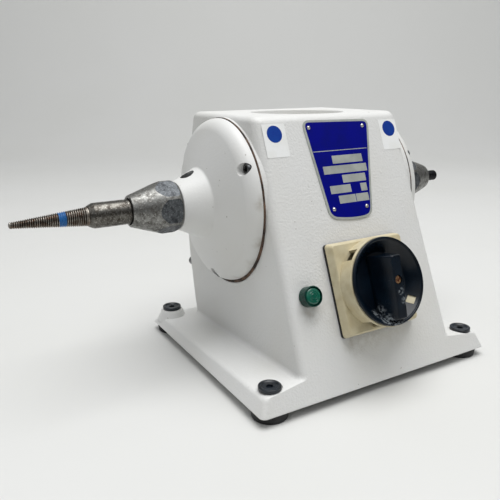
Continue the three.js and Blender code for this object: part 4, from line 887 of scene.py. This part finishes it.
# %% Spindle finishes
store = spindle.data.attributes.new("groove", "FLOAT", "POINT")
store.data.foreach_set("value", groove)
finished(spindle, shank_steel, "taper_spindle", body="rotor", angle=30)
spindle.data.materials.append(thread_steel)
spindle.data.materials.append(blue_band)
for polygon in spindle.data.polygons:
    along = (MIDDLE_X - polygon.center.x) / MM
    if along > TAPER_START - 0.05:
        polygon.material_index = 2 if BAND_START < along < BAND_END else 1
stub = [(0, 115), (4.6, 115), (4.6, 156.3)] + curve3((4.6, 156.6), (4.6, 157.45), (3.6, 157.45), 4)
stub.append((0, 157.45))
arbor = turned("plain_stub_arbor", stub, on_shaft(1), 64)
finished(arbor, black_steel, "plain_arbor", body="rotor")
print("spindle and arbor finished")

# %% [markdown]
# Rubber feet with a bolt through each, and the bolt's dished black cap on top of the flange.
# The rubber widens towards the flange.

# %% Feet
tyre = [(3.0, 0.0), (11.6, 0.0), (12.0, 0.3), (12.3, 1.0), (12.75, 5.6), (12.6, 6.0)]
tyre += [(12.3, 6.1), (3.0, 6.1)]
cap = [(0, 2.4), (2.7, 2.4), (2.7, 19.2), (7.4, 19.2), (7.7, 19.5), (7.7, 21.2)]
cap += curve3((7.65, 21.4), (7.5, 21.7), (7.1, 21.7), 3) + [(6.4, 21.7)]
cap += curve3((6.2, 21.65), (5.8, 21.5), (5.1, 20.9), 3) + [(0, 20.7)]
for i, (x, y) in enumerate(foot_places):
    made = turned(f"rubber_foot_{i + 1}", tyre, upright(x, y), 64)
    finished(made, rubber, f"foot_{i + 1}")
    made = turned(f"foot_cap_{i + 1}", cap, upright(x, y), 64)
    worked(made, [prism("socket", hexagon(2.6, 15), 19.5, 24, upright(x, y))])
    finished(made, black_plastic, f"foot_screw_{i + 1}")
print("four feet")

# %% [markdown]
# The switch. A black gasket, an ivory plate with chamfered sides, and a round collar with
# three windows where a padlock would go through.

# %% Switch gasket and plate
gasket = prism("gasket_sheet", rounded(-32.5, -32.5, 32.5, 32.5, 2.2), 0.3, 2.0, at_switch)
worked(gasket, [rod("way", 10.3, -1, 9, at_switch)])
finished(gasket, rubber, "switch_gasket")
levels = [(32.3, 2.3), (32.5, 2.6), (32.4, 3.4), (31.3, 7.7)]
levels += curve3((31.2, 8.0), (30.9, 9.0), (30.1, 9.0), 4)
plate_rings = []
for half, height in levels:
    ring = rounded(-half, -half, half, half, 2.6 - (32.5 - half) * 0.3)
    plate_rings.append([(x, y, height) for x, y in ring])
plate = lofted("ivory_switch_plate", plate_rings, at_switch)
collar = [(0, 2.6), (30.6, 2.6), (30.6, 8.6), (31.0, 9.4), (31.0, 20.2)]
collar += curve3((31.0, 20.3), (31.0, 20.8), (30.5, 20.8), 3) + [(0, 20.8)]
worked(plate, [turned("collar", collar, at_switch, 96)], "UNION")
tools = [rod("well", 28.4, 5.6, 22, at_switch, 96), rod("way", 6, -1, 21, at_switch, 32)]
gap = rounded(25.8, -4.6, 32, 4.6, 0.6, 2)
for degrees in (134, 240, 14):
    tools.append(prism("padlock_way", gap, 9.3, 18.6, at_switch @ spun(degrees)))
worked(plate, tools)
softened(plate, 0.3, 40)
finished(plate, ivory_plastic, "switch_plate")
print("switch plate:", len(plate.data.polygons), "faces")

# %% [markdown]
# The knob is a shallow dish with a grip bar across it. The bar is wide at its foot,
# narrow in front, and falls towards its lower end. Its edges are moulded round.

# %% Knob
dish = [(0, 11.6), (26.0, 11.6), (27.6, 21.1), (29.9, 21.1), (30.4, 21.5), (30.4, 22.3)]
dish += curve3((30.4, 22.5), (30.3, 23.2), (29.6, 23.2), 4)
dish += curve3((28.9, 23.2), (28.6, 23.1), (28.5, 22.5), 3)
dish += curve3((28.3, 22.4), (28.0, 22.3), (27.7, 21.8), 3) + [(21.7, 14.8)]
dish += curve3((21.5, 14.5), (21.1, 14.0), (20.4, 14.0), 3) + [(0, 14.0)]
knob = turned("dished_knob", dish, at_switch, 128)
low_end, high_end = -26.4, 16.6


def bar_ring(half, above_low, above_high, off_low, off_high):
    low, high = low_end + above_low, high_end + above_high
    ring = rounded(-half, low, half, high, 1.3, 5)
    return [(x, y, mix(off_low, off_high, (y - low) / (high - low))) for x, y in ring]


grip = [
    bar_ring(9.2, 0, 2.4, 13.7, 13.7),
    bar_ring(9.2, 0, 2.4, 15.6, 15.9),
    bar_ring(8.9, 0, 2.2, 16.4, 16.8),
    bar_ring(4.3, 0, 0.1, 27.0, 32.4),
    bar_ring(4.0, 0.1, -0.1, 27.9, 33.3),
    bar_ring(3.3, 0.7, -0.7, 28.5, 34.0),
]
bar = lofted("grip_bar", grip, at_switch)
worked(bar, [rod("within", 27.5, 11, 40, at_switch, 96)], "INTERSECT")
worked(knob, [bar], "UNION")
print("knob body:", len(knob.data.polygons), "faces")

# %% [markdown]
# The brass screw sits deep in the bar, the switch's square stem comes in from behind,
# and a square pocket in the dish's wall takes the ivory position mark.

# %% Knob cuts
front_of_bar = mix(28.5, 34.0, -low_end / (high_end - low_end))
head = front_of_bar - 2.6
seat = head - 1.15
bore = [(0, 11), (1.9, 11), (1.9, seat), (3.0, seat), (3.0, 40), (0, 40)]
tools = [turned("screw_way", bore, at_switch, 40)]
stem_way = rounded(-3.3, -3.3, 3.3, 3.3, 0.4, 2)
tools.append(prism("stem_way", stem_way, 10, 18.8, at_switch))
on_wall = at_switch @ spun(-40) @ Matrix.Translation((24.9, 0, 18.5)) @ spun(-49, "Y")
mark = rounded(-3, -3, 3, 3, 0.4, 3)
tools.append(prism("mark_window", mark, -1.0, 4, on_wall))
worked(knob, tools)
softened(knob, 0.35, 32)
print("knob:", len(knob.data.polygons), "faces")

# %% [markdown]
# The knob's black shows grey-white wear where it is held and knocked: along the lower part
# of the bar, at its lower left foot and on the lower rim.

# %% Worn knob
knob_black, tree, shader = surface("black_phenolic_worn", Roughness=0.26, Specular_IOR_Level=0.3)
where = place_of(tree)
black = blended(tree, spots(tree, where, 14, 0.4, 0.7, 3.0), srgb("#020a14"), srgb("#081622"))
chips = spots(tree, where, 2.0, 0.45, 0.56, 5.0)
wear = [(-11.3, -18.8, 19, 5.5), (-10.7, -12.9, 18, 2.5), (-8.3, -25.1, 22.5, 5)]
wear += [(-0.9, -29.1, 23, 5.5), (0.6, -7.6, 29, 3.6), (2.4, -14.0, 28, 3.6)]
for across, up, off, reach in wear:
    rubbed = near(tree, where, at_switch @ Vector((across, up, off)), reach, reach * 0.3)
    black = blended(tree, product(tree, product(tree, rubbed, chips), 0.9), black, srgb("#9ba2a6"))
tinted(tree, shader, black)
grain(tree, shader, where, 1.6, 0.015)
finished(knob, knob_black, "switch_handle", body="switch")
pin = [(0, head - 14.15), (1.6, head - 14.15), (1.6, head - 0.85), (2.8, head - 0.85)]
pin += [(2.8, head + 1.3), (2.4, head + 1.7), (0, head + 1.8)]
pin = turned("knob_screw", pin, at_switch, 40)
worked(pin, [prism("driver_slot", oblong(-3, -0.3, 3, 0.3), head + 0.8, head + 3, at_switch)])
old_brass = worn_steel("tarnished_brass", "#c9a06f", "#6a3324", "#e0c098", 0.4, 0.03)
finished(pin, old_brass, "handle_screw", body="switch")
tile = prism("position_mark", mark, -1.1, -0.7, on_wall)
finished(tile, ivory_plastic, body="switch")
print("knob, its screw and its mark finished")

# %% [markdown]
# The pilot lamp: a dark ring and a domed green lens with small steps moulded in its face.
# The lens ends just inside the ring's lip.

# %% Pilot lamp
holder = [(4, -24), (5.2, -24), (5.2, 0.3), (6.8, 0.3), (7.0, 0.5), (7.0, 7.3)]
holder += curve3((7.0, 7.4), (6.9, 8.0), (6.4, 8.0), 3) + [(6.2, 8.0), (6.2, 1.9), (4, 1.9)]
holder = turned("lamp_ring", holder, at_lamp, 64)
finished(holder, lamp_green, "pilot_lamp_holder")
lens = [(0, 2.2), (5.9, 2.2), (5.9, 6.6)] + curve3((5.8, 6.9), (5.4, 7.9), (3.6, 7.95), 6)
lens += [(3.4, 7.7), (3.1, 7.95), (2.2, 8.0), (2.0, 7.75), (1.7, 8.0), (0, 8.0)]
lens = turned("lamp_lens", lens, at_lamp, 64)
finished(lens, green_lens, "pilot_lamp_lens")
print("pilot lamp")

# %% [markdown]
# The back carries a curved sheet cover on four cross-slotted screws, as such machines have it.
# The lower two screws have taller heads.

# %% Rear cover
COVER_HALF, COVER_LOW, COVER_HIGH, SHEET = 66, 47, 163, 1.5
COVER_RADIUS = BULGE_RADIUS + 0.3
sheet_rings = []
for i in range(33):
    height = mix(COVER_LOW, COVER_HIGH, i / 32)
    turn = asin((height - BULGE_HEIGHT) / COVER_RADIUS)
    inside = BULGE_REACH - BULGE_RADIUS + COVER_RADIUS * cos(turn)
    section = oblong(-COVER_HALF, inside, COVER_HALF, inside + SHEET)
    sheet_rings.append([(x, y, height) for x, y in section])
cover = lofted("curved_cover", sheet_rings, upright())
shape = rounded(-COVER_HALF, COVER_LOW, COVER_HALF, COVER_HIGH, 4, 8)
shape = prism("cover_shape", shape, -90, 0, from_behind)
worked(cover, [shape], "INTERSECT")
worked(cover, [rod("hole", 2.2, -1, 3, out_of_back(x, z), 24) for x, z in cover_screws])
finished(cover, paint, "rear_cover")
for i, (x, z) in enumerate(cover_screws):
    tall = 3.4 if z < BULGE_HEIGHT else 0.0
    pan = [(0, -9), (1.9, -9), (1.9, 0), (3.4, 0), (3.7, 0.3), (3.7, 1.2 + tall)]
    pan += curve3((3.7, 1.6 + tall), (3.5, 2.2 + tall), (2.4, 2.3 + tall), 6) + [(0, 2.3 + tall)]
    place = out_of_back(x, z) @ Matrix.Translation((0, 0, 2.1))
    made = turned(f"cover_pan_screw_{i + 1}", pan, place, 32)
    for degrees in (22.918, 112.918):
        cross = prism("cross", oblong(-2.1, -0.4, 2.1, 0.4), 1.1 + tall, 7, place @ spun(degrees))
        worked(made, [cross])
    finished(made, screw_steel, f"rear_cover_screw_{i + 1}")
print("rear cover and screws")

# %% [markdown]
# The cable gland under the cover: a hexagon against the wall, a domed nut, and a bore
# through both.

# %% Cable gland
gland = prism("gland_body", hexagon(8.4), 0.3, 5.3, at_gland)
dome = [(0, -9), (6, -9), (6, 5.0), (7.2, 5.0), (7.2, 8.4)]
dome += curve3((7.2, 8.8), (7.0, 11.0), (5.4, 11.8), 6) + [(0, 11.8)]
worked(gland, [turned("dome", dome, at_gland, 64)], "UNION")
worked(gland, [rod("bore", 3.4, -10, 13, at_gland, 48)])
softened(gland, 0.25, 40)
finished(gland, black_plastic, "cable_gland")
print("cable gland:", len(gland.data.polygons), "faces")

# %% [markdown]
# The plate on the front is blue enamel on aluminium, with a bright rim and four rivets.
# It carries a thin rule and seven plain silver fields.


# %% Nameplate
def flat_piece(name, points, low, high, material):
    finished(prism(name, points, low, high, on_front(0, 0)), material)


def shield(inset=0.0):
    corners = [Vector(c) for c in ((18.3, 116.4), (33.5, 188.3), (-26.9, 189.5), (-19.4, 118.4))]
    low_middle = Vector((0.5, 114.7))
    bend = 6.5
    points = []
    ends = [low_middle] + corners + [low_middle]
    for before, corner, after in zip(ends, ends[1:], ends[2:]):
        start = corner + (before - corner).normalized() * bend
        end = corner + (after - corner).normalized() * bend
        points += curve3(start, corner, end, 8)
    points += curve3(points[-1], low_middle, points[0], 8)[1:-1]
    shrunk = []
    for i, point in enumerate(points):
        way = (Vector(points[(i + 1) % len(points)]) - Vector(points[i - 1])).normalized()
        shrunk.append((point[0] - way.y * inset, point[1] + way.x * inset))
    return shrunk


flat_piece("nameplate_rim", shield(), 0.02, 0.75, silver_print)
flat_piece("nameplate_enamel", shield(1.6), 0.6, 0.8, blue_enamel)
rule = [(-22.4, 26.2, 166.1, 166.6)]
fields = rule + [(-7.4, 19.9, 156.8, 162.6), (-16.9, 22.3, 149.6, 155.3), (-1.8, 19.4, 142.4, 148.1)]
fields += [(-14.4, 4.0, 135.3, 141.0), (13.0, 18.7, 135.1, 140.8)]
fields += [(-8.5, 6.5, 127.8, 133.5), (7.0, 18.5, 127.8, 133.5)]
for i, (left, right, low, high) in enumerate(fields):
    box = rounded(left, low, right, high, 0.2, 2)
    flat_piece(f"nameplate_field_{i + 1}", box, 0.79, 0.84, silver_print)
for i, (x, s) in enumerate(((-21.9, 183.9), (26.6, 183.4), (-14.6, 124.4), (14.9, 123.6))):
    rivet = [(0, 0.7), (1.55, 0.7)] + arc((0, 0.2), 1.63, 18, 90, 6)[:-1] + [(0, 1.83)]
    made = turned(f"nameplate_rivet_{i + 1}", rivet, on_front(x, s), 32)
    finished(made, bright_steel)
print("nameplate with", len(fields) - 1, "fields and a rule")

# %% [markdown]
# A white vinyl label stands on each side of the plate, with one plain blue dot.
# The vinyl is 0.14 mm thick, and its corners are cut round.

# %% Labels
for hand, left, right, low, high, x, s in (
    ("left", -59.6, -41.4, 164.8, 188.2, -50.6, 181.0),
    ("right", 43.4, 60.5, 164.0, 187.4, 52.3, 180.2),
):
    label = rounded(left, low, right, high, 0.6, 3)
    flat_piece(f"{hand}_label", label, 0.02, 0.16, white_vinyl)
    dot = rod(f"{hand}_label_dot", 6, 0.15, 0.2, on_front(x, s))
    finished(dot, blue_print)
print("two labels")

# %% [markdown]
# The bottom plate with its screws and slots stays as the CAD made it, and so do the motor,
# the bearings' inner rings and balls, the capacitor and the contact block inside. Each gets
# its own finish. The bearings' outer rings are made round, so the balls clear them all the way.

# %% Finishes of the remaining CAD nodes
finishes = dict.fromkeys(("bottom_plate", "rotor_core", "capacitor"), bare_aluminium)
finishes |= dict.fromkeys(("rotor_shaft", "switch_stem"), bright_steel)
finishes |= {"stator_core": sheet_steel, "switch_body": grey_plastic, "terminal_block": ivory_plastic}
for side, hand in HANDS:
    finishes[f"{hand}_winding"] = copper
    for part in ("inner_ring", "balls"):
        finishes[f"{hand}_bearing_{part}"] = bright_steel
    made = turned(f"{hand}_bearing_race", oblong(16.7, 76.3, 19.9, 88.3), on_shaft(side), 64)
    finished(made, bright_steel, f"{hand}_bearing_outer_ring")
for i in range(1, 5):
    finishes[f"bottom_plate_screw_{i}"] = bright_steel
for name, material in finishes.items():
    node = frame["nodes"][name]
    for place in node.material_slots:
        place.material = material
    print(name, "gets", material.name)

# %% [markdown]
# A pale floor that curves up into a pale wall behind the machine. Sizes here are metres.

# %% Floor
BEND = 0.8
sweep = [(-2.5, 0.0)] + arc((1.1, BEND), BEND, -90, 0, 12) + [(1.1 + BEND, 3.0)]
corners = [(x, y, z) for y, z in sweep for x in (-4.0, 4.0)]
faces = [(2 * i, 2 * i + 1, 2 * i + 3, 2 * i + 2) for i in range(len(sweep) - 1)]
floor = built("studio_floor", corners, faces, spun(AZIMUTH))
floor.data.shade_smooth()
floor_white, tree, shader = surface("studio_white", Roughness=0.6)
where = place_of(tree)
tone = blended(tree, spots(tree, where, 300, 0.3, 0.7), srgb("#d8d8d6"), srgb("#d5d5d2"))
rise = add(tree, "SeparateXYZ", {"Vector": where}).outputs["Z"]
tone = blended(tree, ramp(tree, rise, 0.0, 0.7), tone, srgb("#f3f3f0"))
tinted(tree, shader, tone)
floor.data.materials.append(floor_white)
floor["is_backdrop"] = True
print("floor with a bend of", BEND, "m")

# %% [markdown]
# A round backdrop closes the room for the other views only: the camera sees it,
# and it sends no light to the machine.

# %% Backdrop
rim_of_room = [(1.6, 0.002)] + arc((1.6, BEND + 0.002), BEND, -88, 0, 12)
rim_of_room += [(2.4, 3.2), (2.5, 3.2), (2.5, -0.1), (1.6, -0.1)]
backdrop = turned("studio_backdrop", rim_of_room, Matrix.Identity(4), 96)
backdrop.data.shade_smooth()
backdrop.data.materials.append(floor_white)
for way in ("visible_diffuse", "visible_glossy", "visible_transmission", "visible_shadow"):
    setattr(backdrop, way, False)
backdrop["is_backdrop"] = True
print("backdrop:", len(backdrop.data.polygons), "faces")

# %% [markdown]
# One large soft light hangs overhead. The room is bright from above and dim near the horizon,
# so steel and black plastic keep the dark streaks of the photograph.

# %% Light
light = bpy.data.lights.new("overhead", "AREA")
light.shape = "DISK"
light.size = 1.4
light.energy = 23
lamp = bpy.data.objects.new("overhead", light)
lamp.location = (0.1, -0.12, 1.6)
lamp.rotation_euler = (Vector((0, 0, 0.05)) - lamp.location).to_track_quat("-Z", "Y").to_euler()
scene.collection.objects.link(lamp)
world = bpy.data.worlds.new("room")
world.use_nodes = True
sky = world.node_tree
direction = add(sky, "TexCoord", {}).outputs["Generated"]
height = add(sky, "SeparateXYZ", {"Vector": direction}).outputs["Z"]
glow = ramp(sky, height, 0.3, 0.7, 0.12, 0.78)
sky.links.new(glow, sky.nodes["Background"].inputs["Strength"])
sky.nodes["Background"].inputs["Color"].default_value = srgb("#eef0f2")
scene.world = world
scene.view_settings.view_transform = "Standard"
print("light of", light.energy, "W in a pale room")

# %% [markdown]
# The box round the visual model is printed. The visual model must stay inside the CAD
# model's box.

# %% Finish
low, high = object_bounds()
print("visual box", [round(v, 4) for v in low], [round(v, 4) for v in high])
